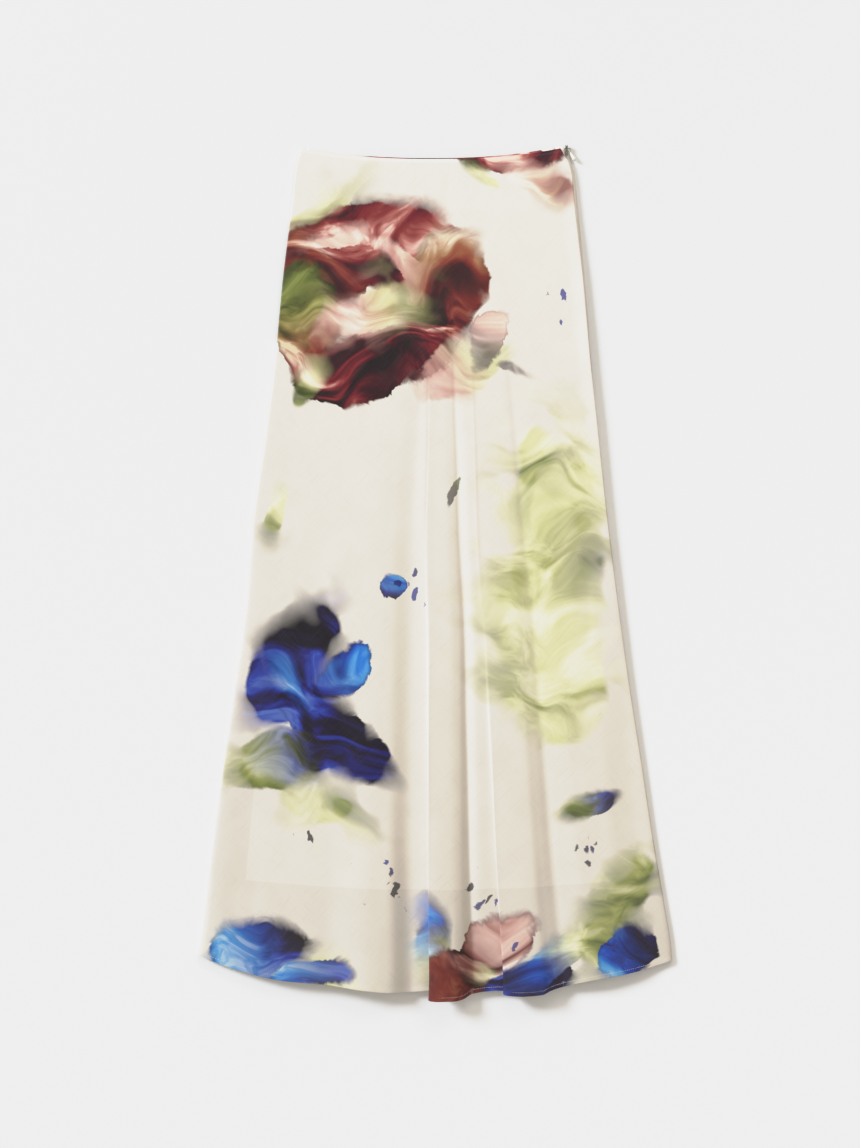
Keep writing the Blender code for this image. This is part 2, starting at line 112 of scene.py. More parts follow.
# Lines down the front: where each starts across the waist and ends across the hem, its place
# on the hem's curve, how far down it starts to lift, how far it lifts at the middle, low and
# at the hem, how far it leans at the middle and at the hem, in mm, and the shell's columns to
# the next one.
Line = namedtuple("Line", "name waist hem hem_y begins lift_mid lift_low lift_hem lean_mid "
                          "lean_hem columns")
LINES = [Line(*row) for row in (
    ("left_edge", 0.000, 0.000, -454.4, 1.00, 0.0, 0.0, 0.0, 0.0, 0.0, 5),
    ("left_roll", 0.000, 0.000, -454.7, 1.00, 0.0, 0.0, 0.0, 0.0, 0.0, 7),
    ("left_rise", 0.100, 0.078, -472.3, 0.25, 0.6, 1.4, 4.7, 0.0, 0.0, 12),
    ("left_swell", 0.190, 0.178, -485.1, 0.22, 1.6, 3.6, 8.7, 0.0, 0.0, 10),
    ("left_dip", 0.265, 0.260, -489.4, 0.20, 2.8, 5.4, 9.2, 0.0, 0.0, 10),
    ("soft_ridge", 0.368, 0.356, -496.6, 0.16, 4.0, 9.2, 16.8, -6.0, 0.0, 7),
    ("soft_brow", 0.412, 0.400, -498.8, 0.16, 3.4, 8.7, 14.8, -7.0, 0.0, 7),
    ("soft_valley", 0.456, 0.450, -499.1, 0.18, 0.2, 0.2, 3.4, -4.6, 0.0, 7),
    ("under_fold_1", 0.476, 0.488, -497.6, 0.14, 2.8, 2.6, 4.4, 0.0, 0.0, 4),
    ("tuck_1", 0.484, 0.496, -501.2, 0.14, 3.6, 6.4, 10.8, -2.4, 1.4, 4),
    ("edge_1", 0.491, 0.488, -506.9, 0.14, 4.4, 9.0, 18.0, 0.2, -1.6, 6),
    ("crest_1", 0.512, 0.502, -508.5, 0.14, 4.1, 9.9, 20.4, 0.6, 0.0, 4),
    ("brow_1", 0.530, 0.538, -508.4, 0.14, 3.8, 8.6, 17.8, 5.0, 0.0, 4),
    ("flank_1", 0.545, 0.557, -506.7, 0.14, 2.2, 5.6, 11.6, 7.4, 0.0, 4),
    ("foot_1", 0.562, 0.572, -501.6, 0.20, 0.0, 0.2, 3.6, 8.0, 2.4, 4),
    ("mid_valley", 0.588, 0.602, -498.9, 0.14, 3.2, 2.2, 2.8, 6.6, 0.0, 4),
    ("under_fold_2", 0.606, 0.638, -497.6, 0.14, 3.9, 2.0, 4.2, 3.0, 0.0, 3),
    ("tuck_2", 0.616, 0.650, -498.4, 0.14, 4.2, 3.4, 7.0, 0.4, 0.8, 3),
    ("edge_2", 0.624, 0.645, -500.5, 0.14, 4.5, 7.2, 13.8, 3.0, -1.2, 6),
    ("crest_2", 0.656, 0.676, -502.8, 0.14, 4.8, 7.6, 16.4, 3.0, 0.0, 5),
    ("brow_2", 0.697, 0.724, -501.1, 0.14, 4.4, 6.9, 14.6, 5.6, 0.0, 4),
    ("flank_2", 0.716, 0.742, -496.4, 0.14, 3.0, 3.6, 9.7, 7.4, 1.4, 4),
    ("right_valley", 0.736, 0.768, -492.4, 0.20, 1.4, 0.3, 5.8, 7.4, 1.4, 9),
    ("right_ridge", 0.820, 0.835, -484.3, 0.14, 2.6, 2.6, 10.0, 4.0, 0.0, 9),
    ("right_swell", 0.900, 0.905, -477.0, 0.12, 2.4, 2.0, 7.4, 0.0, 0.0, 7),
    ("right_rise", 0.955, 0.963, -468.7, 0.10, 2.2, -0.2, 1.6, 0.0, 0.0, 5),
    ("right_roll", 1.000, 1.000, -461.4, 1.00, 0.0, 0.0, 0.0, 0.0, 0.0, 5),
    ("right_edge", 1.000, 1.000, -461.1, 1.00, 0.0, 0.0, 0.0, 0.0, 0.0, 0),
)]

# Creases pressed into the laid cloth, as a line from one place to another on it, in mm, with
# how wide and how deep it is. A crease of less than no depth stands up as a ridge.
Crease = namedtuple("Crease", "x y to_x to_y width depth")
FRONT_CREASES = [Crease(*row) for row in (
    (-133, 432, -156, 238, 4.0, 0.30),
    (-165, 470, -195, 250, 4.5, 0.34),
    (-149, 380, -176, 210, 6.0, -0.28),
    (-97, 285, -101, 180, 5.0, 0.26),
    (-140, 505, -95, 440, 7.0, 0.22),
    (-118, 508, -84, 462, 6.0, -0.18),
    (161, 130, 166, -105, 8.0, -0.55),
    (180, 60, 185, -120, 5.0, 0.36),
    (125, 215, 133, 50, 6.0, 0.30),
    (-163, 20, -176, -290, 15.0, 0.60),
    (-120, 60, -133, -200, 13.0, -0.40),
    (222, -60, 247, -400, 10.0, 0.55),
    (202, -160, 214, -440, 9.0, -0.45),
    (-213, -330, -226, -470, 9.0, 0.50),
    (-246, -300, -262, -440, 8.0, -0.40),
    (16, 500, 12, 428, 5.0, 0.22),
    (-40, 502, -44, 450, 4.5, 0.18),
    (84, 502, 90, 436, 5.0, 0.20),
    (168, 472, 140, 462, 4.0, 0.24),
    (171, 418, 147, 404, 4.0, 0.22),
    (176, 352, 146, 340, 4.5, 0.24),
    (181, 300, 158, 292, 4.0, 0.20),
)]

# Valleys that close to a sharp line: where on the skirt one begins, and how wide and how deep
# it is at the hem, in mm
Pinch = namedtuple("Pinch", "line begins width depth")
PINCHES = [Pinch(*row) for row in (
    ("foot_1", 0.14, 4.0, 1.1),
    ("right_valley", 0.26, 5.0, 0.8),
)]

# Fold edges that stand up in a line: where on the skirt one begins, how high it stands at the
# hem, and how far it takes to fall away to the right, in mm
StandingEdge = namedtuple("StandingEdge", "line begins height width")
STANDING_EDGES = [StandingEdge(*row) for row in (
    ("edge_1", 0.56, 1.0, 6.0),
    ("edge_2", 0.60, 0.8, 6.0),
)]
STEEP_SIDE = 1.2 * MM                # a standing edge falls away in this to its left
EDGE_GROWS = 0.2                     # how far down the skirt it takes to reach its height

# Slight unevenness of cloth lying by its own weight: how far apart its rises are, how high
Rumple = namedtuple("Rumple", "apart height")
FRONT_RUMPLES = (Rumple(34 * MM, 0.22 * MM), Rumple(11 * MM, 0.07 * MM))
LINING_RUMPLE = Rumple(26 * MM, 0.16 * MM)
RUMPLE_STRETCH = 0.45                # their rate down the skirt, against that across it
SIDE_GIVE = 14 * MM                  # no crease or rumple at the very sides, and all in here
HEM_GIVE = 4 * MM                    # and the same for the hem's swelling

# Places down the last stretch of the front, above its edge, where the shell has close rows
HEM_ROWS = (14.0, 11.0, 8.5, 7.0, 6.0, 5.2, 4.5, 3.8, 2.6, 1.4, 0.5, 0.0)
PLAIN_ROWS = 186
UNDERLAP = 0.35 * MM                 # the shell lies this far above the solid's underside
SIDE_SEAM_Z = 0.62 * MM              # the front's underside at the side seams, on the back
HEM_ALLOWANCE = 0.5 * MM
INNER_SHELL = 0.4 * MM

FACING_DEPTH = 35.0 * MM
FACING_BELOW_WAIST = 0.2 * MM
FACING_INSET = 6.0 * MM
LINING_HALF_WAIST = 147.5 * MM
LINING_HALF_HEM = 227.6 * MM
LINING_HEM_Y = -365.0 * MM
LINING_HEM_DROP = 11.5 * MM
LINING_TOP_BELOW_WAIST = 4.0 * MM

ZIP_LENGTH = 220.0 * MM
TAPE_TOP_Y = 513.4 * MM
TAPE_WIDTH = 10.0 * MM
TAPE_INSET = 2.2 * MM
TAPE_INSET_AT_SLIDER = 4.6 * MM
SLIDER_ENDS = 0.011
TAPE_TURNED = 0.022
TAPE_SEAM = 0.7 * MM
COIL_TOP_BELOW = 16.0 * MM           # from the tapes' top to the first turn under the slider
COIL_RADIUS = 0.75 * MM
COIL_THREAD = 0.26 * MM
SLIDER_SIZE = Vector((3.2, 12.2, 4.8)) * MM
SLIDER_PLATE = 1.05 * MM
BRIDGE_RADIUS = 2.0 * MM
BRIDGE_WIRE = 0.5 * MM
BRIDGE_STAND = 1.0 * MM
BRIDGE_ROOT = 0.8 * MM
PULL_PIVOT = Vector(frame["joints"][0]["pos_m"])
PULL_REST = math.radians(31.0)
EYE_RADIUS = 1.25 * MM
EYE_WIRE = 0.42 * MM
PullRing = namedtuple("PullRing", "along radius")
PULL_PROFILE = [PullRing(*row) for row in (
    (2.95, 0.42), (3.4, 0.62), (4.2, 0.90), (5.4, 1.14),
    (6.8, 1.40), (8.4, 1.77), (10.0, 2.08), (11.4, 2.22),
    (12.5, 2.16), (13.4, 1.83), (14.1, 1.33), (14.55, 0.74),
)]
PULL_LENGTH = 14.8 * MM


def smooth(knots, values):
    """A curve through the values that never overshoots them (monotone cubic)."""
    steps = [b - a for a, b in zip(knots, knots[1:])]
    slopes = [(b - a) / h for a, b, h in zip(values, values[1:], steps)]
    tangents = [slopes[0]]
    for before, after, h0, h1 in zip(slopes, slopes[1:], steps, steps[1:]):
        if before * after <= 0:
            tangents.append(0.0)
        else:
            w0, w1 = 2 * h1 + h0, h1 + 2 * h0
            tangents.append((w0 + w1) / (w0 / before + w1 / after))
    tangents.append(slopes[-1])

    def at(t):
        t = min(max(t, knots[0]), knots[-1])
        k = min(bisect_right(knots, t) - 1, len(steps) - 1)
        h = steps[k]
        s = (t - knots[k]) / h
        return (values[k] * (1 + 2 * s) * (1 - s) ** 2 + tangents[k] * h * s * (1 - s) ** 2
                + values[k + 1] * s * s * (3 - 2 * s) + tangents[k + 1] * h * s * s * (s - 1))
    return at


def ease(t):
    """0 below 0, 1 above 1, and a smooth step between them."""
    t = min(max(t, 0.0), 1.0)
    return t * t * (3 - 2 * t)


def section_curve(field):
    return smooth([s.down for s in SECTIONS], [getattr(s, field) * MM for s in SECTIONS])


left_edge = section_curve("left")
back_right_edge = section_curve("right")
stand_back = section_curve("stand_back")
right_rim = section_curve("rim")
left_roll = section_curve("left_roll")
right_roll = section_curve("right_roll")


def waist_y(across):
    return WAIST_Y - WAIST_DIP * (1 - abs(2 * across - 1) ** WAIST_DIP_POWER)


def down_at(y):
    return (WAIST_Y - y) / LENGTH


def growth(line):
    """How far a line lifts and leans, as curves down the skirt."""
    if line.begins >= 1:
        return (lambda down: 0.0), (lambda down: 0.0)
    middle = max(MIDDLE, line.begins + LEAST_RISE)
    lift = smooth([0.0, line.begins, middle, LOW, 1.0],
                  [0.0, 0.0, line.lift_mid * MM, line.lift_low * MM, line.lift_hem * MM])
    lean = smooth([0.0, line.begins, middle, 1.0],
                  [0.0, 0.0, line.lean_mid * MM, line.lean_hem * MM])
    return lift, lean


GROWTHS = [growth(line) for line in LINES]


def side_seam(rim):
    """The front's underside at its edge: on the back at a seam, and higher over the zip."""
    over_zip = (rim - SEAM_RIM) / (ZIP_RIM - SEAM_RIM)
    return SIDE_SEAM_Z + (rim + UNDERLAP - SIDE_SEAM_Z) * over_zip


def line_point(index, down):
    """A point on the front shell's underside where one of its lines crosses a section."""
    line = LINES[index]
    lift, lean = GROWTHS[index]
    across = line.waist + (line.hem - line.waist) * down
    left, right = left_edge(down), back_right_edge(down) - stand_back(down)
    y = waist_y(across) * (1 - down) + line.hem_y * MM * down
    x = left + (right - left) * across + lean(down)
    left_top, right_top = left_roll(down), right_roll(down)
    aside, z = {
        "left_edge": (TUCKED * (left_top - SEAM_RIM), SIDE_SEAM_Z),
        "left_roll": (0.0, left_top + UNDERLAP),
        "right_roll": (0.0, right_top + UNDERLAP),
        "right_edge": (TUCKED * (right_rim(down) - right_top), side_seam(right_rim(down))),
    }.get(line.name, (0.0, LAYER_3 + UNDERLAP))
    return Vector((x + aside, y, z + lift(down)))


def line_knots():
    """How far along the hem's cloth each line lies, from the left edge."""
    points = [line_point(i, 1.0) for i in range(len(LINES))]
    knots = [0.0]
    for a, b in zip(points, points[1:]):
        knots.append(knots[-1] + (b - a).length)
    return knots


KNOTS = line_knots()
KNOT_OF = {line.name: knot for line, knot in zip(LINES, KNOTS)}


def front_section(down):
    """The front shell's underside along one section, by the place along the cloth."""
    points = [line_point(i, down) for i in range(len(LINES))]
    curves = [smooth(KNOTS, [p[axis] for p in points]) for axis in range(3)]
    return lambda along: Vector(c(along) for c in curves)


def spaced(marks, counts):
    """The marks with evenly spaced stops between them."""
    stops = [marks[0]]
    for a, b, count in zip(marks, marks[1:], counts):
        stops += [a + (b - a) * k / count for k in range(1, count + 1)]
    return stops


def even(low, high, count):
    return [low + (high - low) * k / (count - 1) for k in range(count)]


def back_hem_y(across):
    straight = HEM_LEFT_Y + (HEM_RIGHT_Y - HEM_LEFT_Y) * across + BACK_HEM_SHORT
    return straight - BACK_HEM_DROP * (1 - abs(2 * across - 1) ** BACK_HEM_POWER)


def back_point(across, down, z, inset=0.0):
    left, right = left_edge(down) + inset, back_right_edge(down) - inset
    y = (waist_y(across) + BACK_WAIST_RISE) * (1 - down) + back_hem_y(across) * down
    return Vector((left + (right - left) * across, y, z))


tape_inset = smooth([0.0, SLIDER_ENDS, TAPE_TURNED, 1.0],
                    [TAPE_INSET_AT_SLIDER, TAPE_INSET_AT_SLIDER, TAPE_INSET, TAPE_INSET])


def tape_edge(down):
    return back_right_edge(down) - tape_inset(down)


def inside_tape(down):
    return tape_edge(down) - TAPE_WIDTH - TAPE_SEAM


def creased(point, creases):
    """How far the creases press a point down."""
    total = 0.0
    for c in creases:
        run_x, run_y = c.to_x - c.x, c.to_y - c.y
        off_x, off_y = point.x / MM - c.x, point.y / MM - c.y
        length = math.hypot(run_x, run_y)
        along = (off_x * run_x + off_y * run_y) / length ** 2
        if 0 < along < 1:
            aside = (off_x * run_y - off_y * run_x) / length
            total += c.depth * MM * math.sin(math.pi * along) * math.exp(-(aside / c.width) ** 2)
    return total


def pinched(along, down):
    """How far the pinched valleys draw the cloth down."""
    total = 0.0
    for pinch in PINCHES:
        if down > pinch.begins:
            middle = KNOT_OF[pinch.line]
            grown = math.sqrt((down - pinch.begins) / (1 - pinch.begins))
            total += (pinch.depth * MM * grown
                      * math.exp(-((along - middle) / (pinch.width * MM)) ** 2))
    return total


def standing(along, down):
    """How far the standing edges raise the cloth."""
    total = 0.0
    for edge in STANDING_EDGES:
        if down > edge.begins:
            past = along - KNOT_OF[edge.line]
            fall = edge.width * MM if past > 0 else STEEP_SIDE
            grown = ease((down - edge.begins) / EDGE_GROWS)
            total += edge.height * MM * grown * math.exp(-abs(past) / fall)
    return total


def rumpled(point, rumple):
    """How far a rumple raises a point."""
    flat = Vector((point.x, point.y * RUMPLE_STRETCH, 0.0))
    return noise.noise(flat / rumple.apart) * rumple.height


# ---------------------------------------------------------------- settings that a user changes
def colour_setting(name, description, default):
    return FloatVectorProperty(name=name, description=description, default=default, min=0, max=1,
                               subtype="COLOR")


def size_setting(name, description, default, least, most):
    return FloatProperty(name=name, description=description, default=default, min=least,
                         max=most, unit="LENGTH")


def share_setting(name, description, default, most=1):
    return FloatProperty(name=name, description=description, default=default, min=0, max=most,
                         subtype="FACTOR")


class SkirtCloth(bpy.types.PropertyGroup):
    thickness: size_setting(
        "Cloth thickness", "Thickness of the satin shells",
        0.5 * MM, 0.2 * MM, 0.9 * MM)
    ground: colour_setting(
        "Ground", "Colour of the satin between the printed motifs",
        (0.706, 0.650, 0.573))
    lining: colour_setting(
        "Lining", "Colour of the lining voile",
        (0.80, 0.75, 0.67))
    show_through: share_setting(
        "Show-through", "How much darker the front is where no lining backs it", 0.085, 0.5)
    print_strength: share_setting("Print", "How strong the printed motifs are", 1.0)
    stitch: size_setting(
        "Stitch length", "Length of one hem stitch with its gap",
        2.6 * MM, 1.5 * MM, 5 * MM)
    stitch_line: size_setting(
        "Stitch line", "How far the hem's stitching stands above its edge",
        4.5 * MM, 3 * MM, 6 * MM)


class SkirtZip(bpy.types.PropertyGroup):
    coil_pitch: size_setting(
        "Coil pitch", "Distance between two turns of the zip's coil",
        1.35 * MM, 1 * MM, 3 * MM)
    tape: colour_setting("Tape", "Colour of the zip's tapes", (0.83, 0.79, 0.71))
    metal: colour_setting(
        "Slider", "Colour of the slider's lacquered metal",
        (0.19, 0.18, 0.165))
    enamel: colour_setting("Pull", "Colour of the pull's enamel", (0.84, 0.80, 0.72))
    ring_steps: IntProperty(
        name="Pull steps", description="Steps round the turned pull",
        default=28, min=12, max=48)


class SkirtStage(bpy.types.PropertyGroup):
    camera_height: size_setting(
        "Camera height", "Height of the camera over the floor",
        3.2, 1.5, 6)
    floor_light: FloatProperty(
        name="Floor light", description="How much light the lit floor sends to the camera",
        default=1.2, min=0.1, max=2)
    floor: FloatProperty(
        name="Floor", description="How much of the light the floor gives back",
        default=0.82, min=0.1, max=1, subtype="FACTOR")
    key_share: colour_setting(
        "Key share", "The part of the floor's light that the key light gives",
        (0.36, 0.39, 0.44))
    top_share: colour_setting(
        "Top share", "The part that the wide light beyond the waist gives",
        (0.15, 0.15, 0.15))


# ---------------------------------------------------------------- node and mesh helpers
def node(tree, kind, inputs=None, **settings):
    """Adds a shader node. An input is given by number or name, as a value or as a socket."""
    made = tree.nodes.new("ShaderNode" + kind)
    for key, value in settings.items():
        setattr(made, key, value)
    feed(tree, made, inputs or {})
    return made


def feed(tree, made, inputs):
    """Gives a node its inputs, each a value or a socket to link."""
    for socket, value in inputs.items():
        if isinstance(value, bpy.types.NodeSocket):
            tree.links.new(value, made.inputs[socket])
        else:
            made.inputs[socket].default_value = value


def arithmetic(tree, operation, *values, clamp=False):
    made = node(tree, "Math", dict(enumerate(values)), operation=operation)
    made.use_clamp = clamp
    return made.outputs[0]


def vector_math(tree, operation, *values):
    made = node(tree, "VectorMath", dict(enumerate(values)), operation=operation)
    return made.outputs["Value" if operation in ("LENGTH", "DISTANCE", "DOT_PRODUCT") else "Vector"]


def mapped(tree, vector, kind="POINT", **inputs):
    """The vector moved, turned and scaled, or for TEXTURE the other way about."""
    return node(tree, "Mapping", {"Vector": vector, **inputs}, vector_type=kind).outputs[0]


def object_place(tree):
    return node(tree, "TexCoord").outputs["Object"]


def cut_place(tree):
    return node(tree, "UVMap", uv_map="cut").outputs[0]


def bands(tree, vector, scale, distortion, direction="X", **inputs):
    return node(tree, "TexWave",
                {"Vector": vector, "Scale": scale, "Distortion": distortion, "Detail": 1.0,
                 **inputs}, wave_type="BANDS", bands_direction=direction).outputs["Fac"]


def mixed(tree, factor, a, b, blend="MIX"):
    """Colour a, turned into colour b as the factor goes to 1."""
    made = node(tree, "Mix", {0: factor, 6: a, 7: b}, data_type="RGBA", blend_type=blend)
    return made.outputs[2]


def ranged(tree, value, low, high, to_low=0.0, to_high=1.0):
    """The value's smooth step from one level to another."""
    made = node(tree, "MapRange",
                {"Value": value, "From Min": low, "From Max": high,
                 "To Min": to_low, "To Max": to_high}, interpolation_type="SMOOTHSTEP")
    return made.outputs[0]


def noisy(tree, vector, scale, detail=2.0, roughness=0.5, distortion=0.0, output="Fac"):
    return node(tree, "TexNoise",
                {"Vector": vector, "Scale": scale, "Detail": detail, "Roughness": roughness,
                 "Distortion": distortion}).outputs[output]


def rgba(colour, alpha=1.0):
    return (*colour, alpha)


def new_material(name):
    material = bpy.data.materials.new(name)
    material.use_nodes = True
    tree = material.node_tree
    return material, tree, tree.nodes["Principled BSDF"]


def set_shader(tree, shader, **values):
    """Gives the shader its inputs, by their names with underscores."""
    feed(tree, shader, {name.replace("_", " "): value for name, value in values.items()})


def link_bump(tree, shader, height, distance, strength=1.0):
    bump = node(tree, "Bump", {"Height": height, "Distance": distance, "Strength": strength})
    tree.links.new(bump.outputs["Normal"], shader.inputs["Normal"])


def linked(name, data):
    """A new object in the scene."""
    obj = bpy.data.objects.new(name, data)
    bpy.context.scene.collection.objects.link(obj)
    return obj


def add_object(name, bm, materials, body="skirt"):
    """A finished piece from a bmesh, which rides on a body of the frame."""
    mesh = bpy.data.meshes.new(name)
    bm.to_mesh(mesh)
    bm.free()
    for material in materials:
        mesh.materials.append(material)
    mesh.shade_smooth()
    obj = linked(name, mesh)
    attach(obj, body)
    return obj


def woven(name, rows, thickness, materials, side=1):
    """A thin closed shell of cloth, from rows of points in the frame that run from the waist
    down. The thickness goes up, or down for side -1."""
    cut = flat_cut(rows)
    row_count, column_count = len(rows), len(rows[0])
    bm = bmesh.new()
    bmesh.ops.create_grid(bm, x_segments=column_count - 1, y_segments=row_count - 1, size=0.5)
    uv = bm.loops.layers.uv.new("cut")
    places = {}
    for vert in bm.verts:
        column = round((vert.co.x + 0.5) * (column_count - 1))
        row = round((0.5 - vert.co.y) * (row_count - 1))
        places[vert] = (row, column)
        vert.co = rows[row][column]
    for face in bm.faces:
        for loop in face.loops:
            row, column = places[loop.vert]
            loop[uv].uv = cut[row][column]
    obj = add_object(name, bm, materials)
    solidify = obj.modifiers.new("wall", "SOLIDIFY")
    solidify.thickness = thickness
    solidify.offset = side
    if len(materials) > 1:
        solidify.material_offset = 1
    return obj


def flat_cut(rows):
    """The rows laid out flat: metres across from each row's middle, and up."""
    cut = []
    for row in rows:
        run = [0.0]
        for a, b in zip(row, row[1:]):
            run.append(run[-1] + (b - a).length)
        cut.append([(s - run[-1] / 2, p.y) for s, p in zip(run, row)])
    return cut


def copies(name, pattern, places, materials, body="skirt"):
    """One mesh of many copies of a small shape, one at each matrix."""
    bm = bmesh.new()
    small = bpy.data.meshes.new(name + "_one")
    pattern.to_mesh(small)
    pattern.free()
    count = len(small.vertices)
    for matrix in places:
        bm.from_mesh(small)
        bm.verts.ensure_lookup_table()
        bmesh.ops.transform(bm, matrix=matrix, verts=bm.verts[-count:])
    bpy.data.meshes.remove(small)
    return add_object(name, bm, materials, body)


# ---------------------------------------------------------------- the printed satin
# Palettes that a motif's paint is read from, from its darkest streaks to its palest
PALETTES = {
    "wine": ((0.00, "160a10"), (0.26, "3b0d18"), (0.48, "6a1722"), (0.66, "7e2c2c"),
             (0.84, "a8625a"), (1.0, "dcbcae")),
    "rust": ((0.00, "3c1418"), (0.35, "7a2a22"), (0.60, "94583c"), (0.80, "ad8a66"),
             (1.0, "dccdb6")),
    "blush": ((0.00, "8f5450"), (0.35, "c3958a"), (0.70, "dcc0b2"), (1.0, "ebe0d4")),
    "moss": ((0.00, "3f4a20"), (0.35, "717a3a"), (0.70, "9ea15c"), (1.0, "cdcb9c")),
    "lime": ((0.00, "a3a462"), (0.40, "c9c896"), (0.75, "dbd8b2"), (1.0, "e5e1c8")),
    "ink": ((0.00, "120d18"), (0.30, "1b1430"), (0.55, "22226b"), (0.78, "2c3f9a"),
            (1.0, "4f66ad")),
    "azure": ((0.00, "17235a"), (0.30, "1c44a8"), (0.60, "2b78c6"), (0.85, "5aa3d2"),
              (1.0, "b4cfd8")),
    "stone": ((0.00, "2c2628"), (0.45, "6d6462"), (1.0, "bdb2a8")),
}

# Motifs of the print, in mm on the flat cut: the middle, half-lengths along and across, the
# turn in degrees, how ragged and how soft the edge is, how opaque, and the palettes that the
# paint runs between from one end to the other.
Motif = namedtuple("Motif", "across up long wide turn ragged soft strength start end")
MOTIFS = [Motif(*row) for row in (
    # a wine bloom with a pale heart
    (-150, 404, 74, 30, 52, 0.4, 0.45, 0.85, "blush", "moss"),
    (-132, 378, 80, 50, 34, 0.9, 0.06, 1.0, "rust", "wine"),
    (-50, 398, 96, 48, -16, 0.7, 0.10, 1.0, "wine", "wine"),
    (-150, 300, 80, 44, 98, 1.0, 0.05, 1.0, "wine", "moss"),
    (10, 334, 74, 50, 72, 0.6, 0.12, 1.0, "wine", "rust"),
    (-70, 252, 98, 42, 14, 1.0, 0.05, 1.0, "wine", "wine"),
    (-66, 324, 46, 33, 24, 0.5, 0.50, 0.96, "blush", "lime"),
    (-26, 372, 46, 12, -40, 0.6, 0.30, 0.9, "blush", "rust"),
    (-122, 296, 40, 12, 62, 0.8, 0.30, 0.85, "rust", "blush"),
    (-110, 410, 34, 10, 20, 0.8, 0.40, 0.85, "blush", "blush"),
    (34, 246, 56, 28, 30, 0.9, 0.25, 0.75, "blush", "lime"),
    (64, 288, 40, 17, 70, 1.0, 0.10, 0.8, "stone", "blush"),
    (-150, 232, 36, 14, 60, 0.3, 0.50, 0.9, "moss", "lime"),
    # a stroke along the waist
    (100, 512, 84, 22, 3, 0.8, 0.10, 1.0, "wine", "wine"),
    (136, 478, 46, 17, -20, 0.4, 0.55, 0.85, "blush", "rust"),
    (58, 482, 28, 10, -30, 0.3, 0.50, 0.8, "moss", "lime"),
    # a broad wash down the zip side
    (154, 84, 78, 52, 82, 0.3, 0.70, 0.9, "lime", "lime"),
    (130, -20, 96, 54, 74, 0.3, 0.60, 0.9, "lime", "lime"),
    (164, -120, 70, 48, 104, 0.5, 0.40, 0.95, "lime", "lime"),
    (116, 136, 38, 22, 100, 0.3, 0.80, 0.9, "moss", "lime"),
    (186, -22, 50, 18, 64, 0.3, 0.80, 0.8, "lime", "moss"),
    (124, -166, 50, 20, -34, 0.5, 0.55, 0.95, "moss", "lime"),
    (98, -58, 58, 18, 82, 0.3, 0.80, 0.8, "moss", "lime"),
    # an ink bloom low on the left
    (-176, -108, 88, 46, 64, 0.4, 0.22, 1.0, "ink", "ink"),
    (-134, -184, 90, 40, -44, 0.6, 0.14, 1.0, "ink", "ink"),
    (-190, -228, 74, 36, 12, 0.4, 0.24, 1.0, "moss", "ink"),
    (-112, -110, 44, 24, 40, 0.9, 0.07, 1.0, "ink", "azure"),
    (-168, -150, 44, 10, -58, 0.6, 0.55, 0.85, "azure", "ink"),
    (-150, -282, 52, 20, -12, 0.3, 0.60, 0.9, "lime", "moss"),
    # blooms along the hem
    (-206, -474, 72, 30, -12, 0.4, 0.35, 0.95, "moss", "lime"),
    (-236, -448, 62, 40, 14, 0.7, 0.10, 1.0, "azure", "ink"),
    (-176, -478, 46, 17, 8, 0.9, 0.10, 0.95, "azure", "ink"),
    (-10, -446, 56, 34, 84, 0.6, 0.25, 0.95, "lime", "azure"),
    (34, -486, 62, 42, 6, 0.9, 0.06, 1.0, "rust", "wine"),
    (84, -446, 58, 38, 48, 1.0, 0.05, 1.0, "wine", "blush"),
    (62, -468, 34, 14, -24, 0.5, 0.50, 0.85, "blush", "lime"),
    (130, -494, 62, 34, 10, 0.9, 0.08, 1.0, "ink", "ink"),
    (166, -458, 48, 26, 34, 0.6, 0.20, 0.95, "azure", "lime"),
    (238, -404, 74, 36, 66, 0.4, 0.35, 0.95, "moss", "moss"),
    (258, -452, 44, 28, 30, 0.8, 0.10, 1.0, "azure", "ink"),
    # single leaves
    (96, 250, 23, 5.5, -14, 0.5, 0.25, 0.8, "stone", "stone"),
    (28, 98, 17, 4.4, 66, 0.6, 0.20, 0.8, "stone", "moss"),
    (-186, 72, 32, 13, 74, 0.3, 0.50, 0.9, "moss", "lime"),
    (208, -272, 38, 16, 16, 0.5, 0.20, 0.95, "moss", "ink"),
    (-52, -10, 20, 15, 50, 0.9, 0.08, 0.95, "ink", "azure"),
    # the facing's own piece of the cloth, beyond the front's
    (702, 500, 122, 32, 0, 0.8, 0.08, 1.0, "wine", "wine"),
)]

# Sprays of specks, in mm on the flat cut
Spray = namedtuple("Spray", "across up radius")
SPRAYS = [Spray(*row) for row in (
    (-34, -12, 46), (-70, -372, 54), (150, 322, 34), (60, -380, 42),
    (-176, -318, 36), (196, -330, 34), (120, -430, 30),
)]
SPECKS_A_METRE = 105.0

# Looks of the cloths, threads and metal
BIAS = math.radians(45)
TWILL_SCALE = 300.0
BAND_LENGTH = 0.3183                 # of a wave texture's bands at scale 1
BACK_SHIFT = (0.08, 0.02, 0.0)       # the back is cut from another place of the printed cloth
FACING_FROM_MIDDLE = 0.66            # and the facing from this far beyond the front's middle
INSIDE_PRINT = 0.3                   # how strongly the print shows on the cloth's inside
HEM_PRINT = 0.85
SIDE_SHOWS = (-90 * MM, -330 * MM)   # the missing lining at the left shows from here to here
SATIN_SHADOW = (0.16, 0.13, 0.11, 1.0)
WEAVE_SHADOW = (0.25, 0.22, 0.18, 1.0)
THREAD_SHADOW = (0.45, 0.40, 0.34, 1.0)
METAL_HAZE = (0.3, 0.27, 0.22, 1.0)


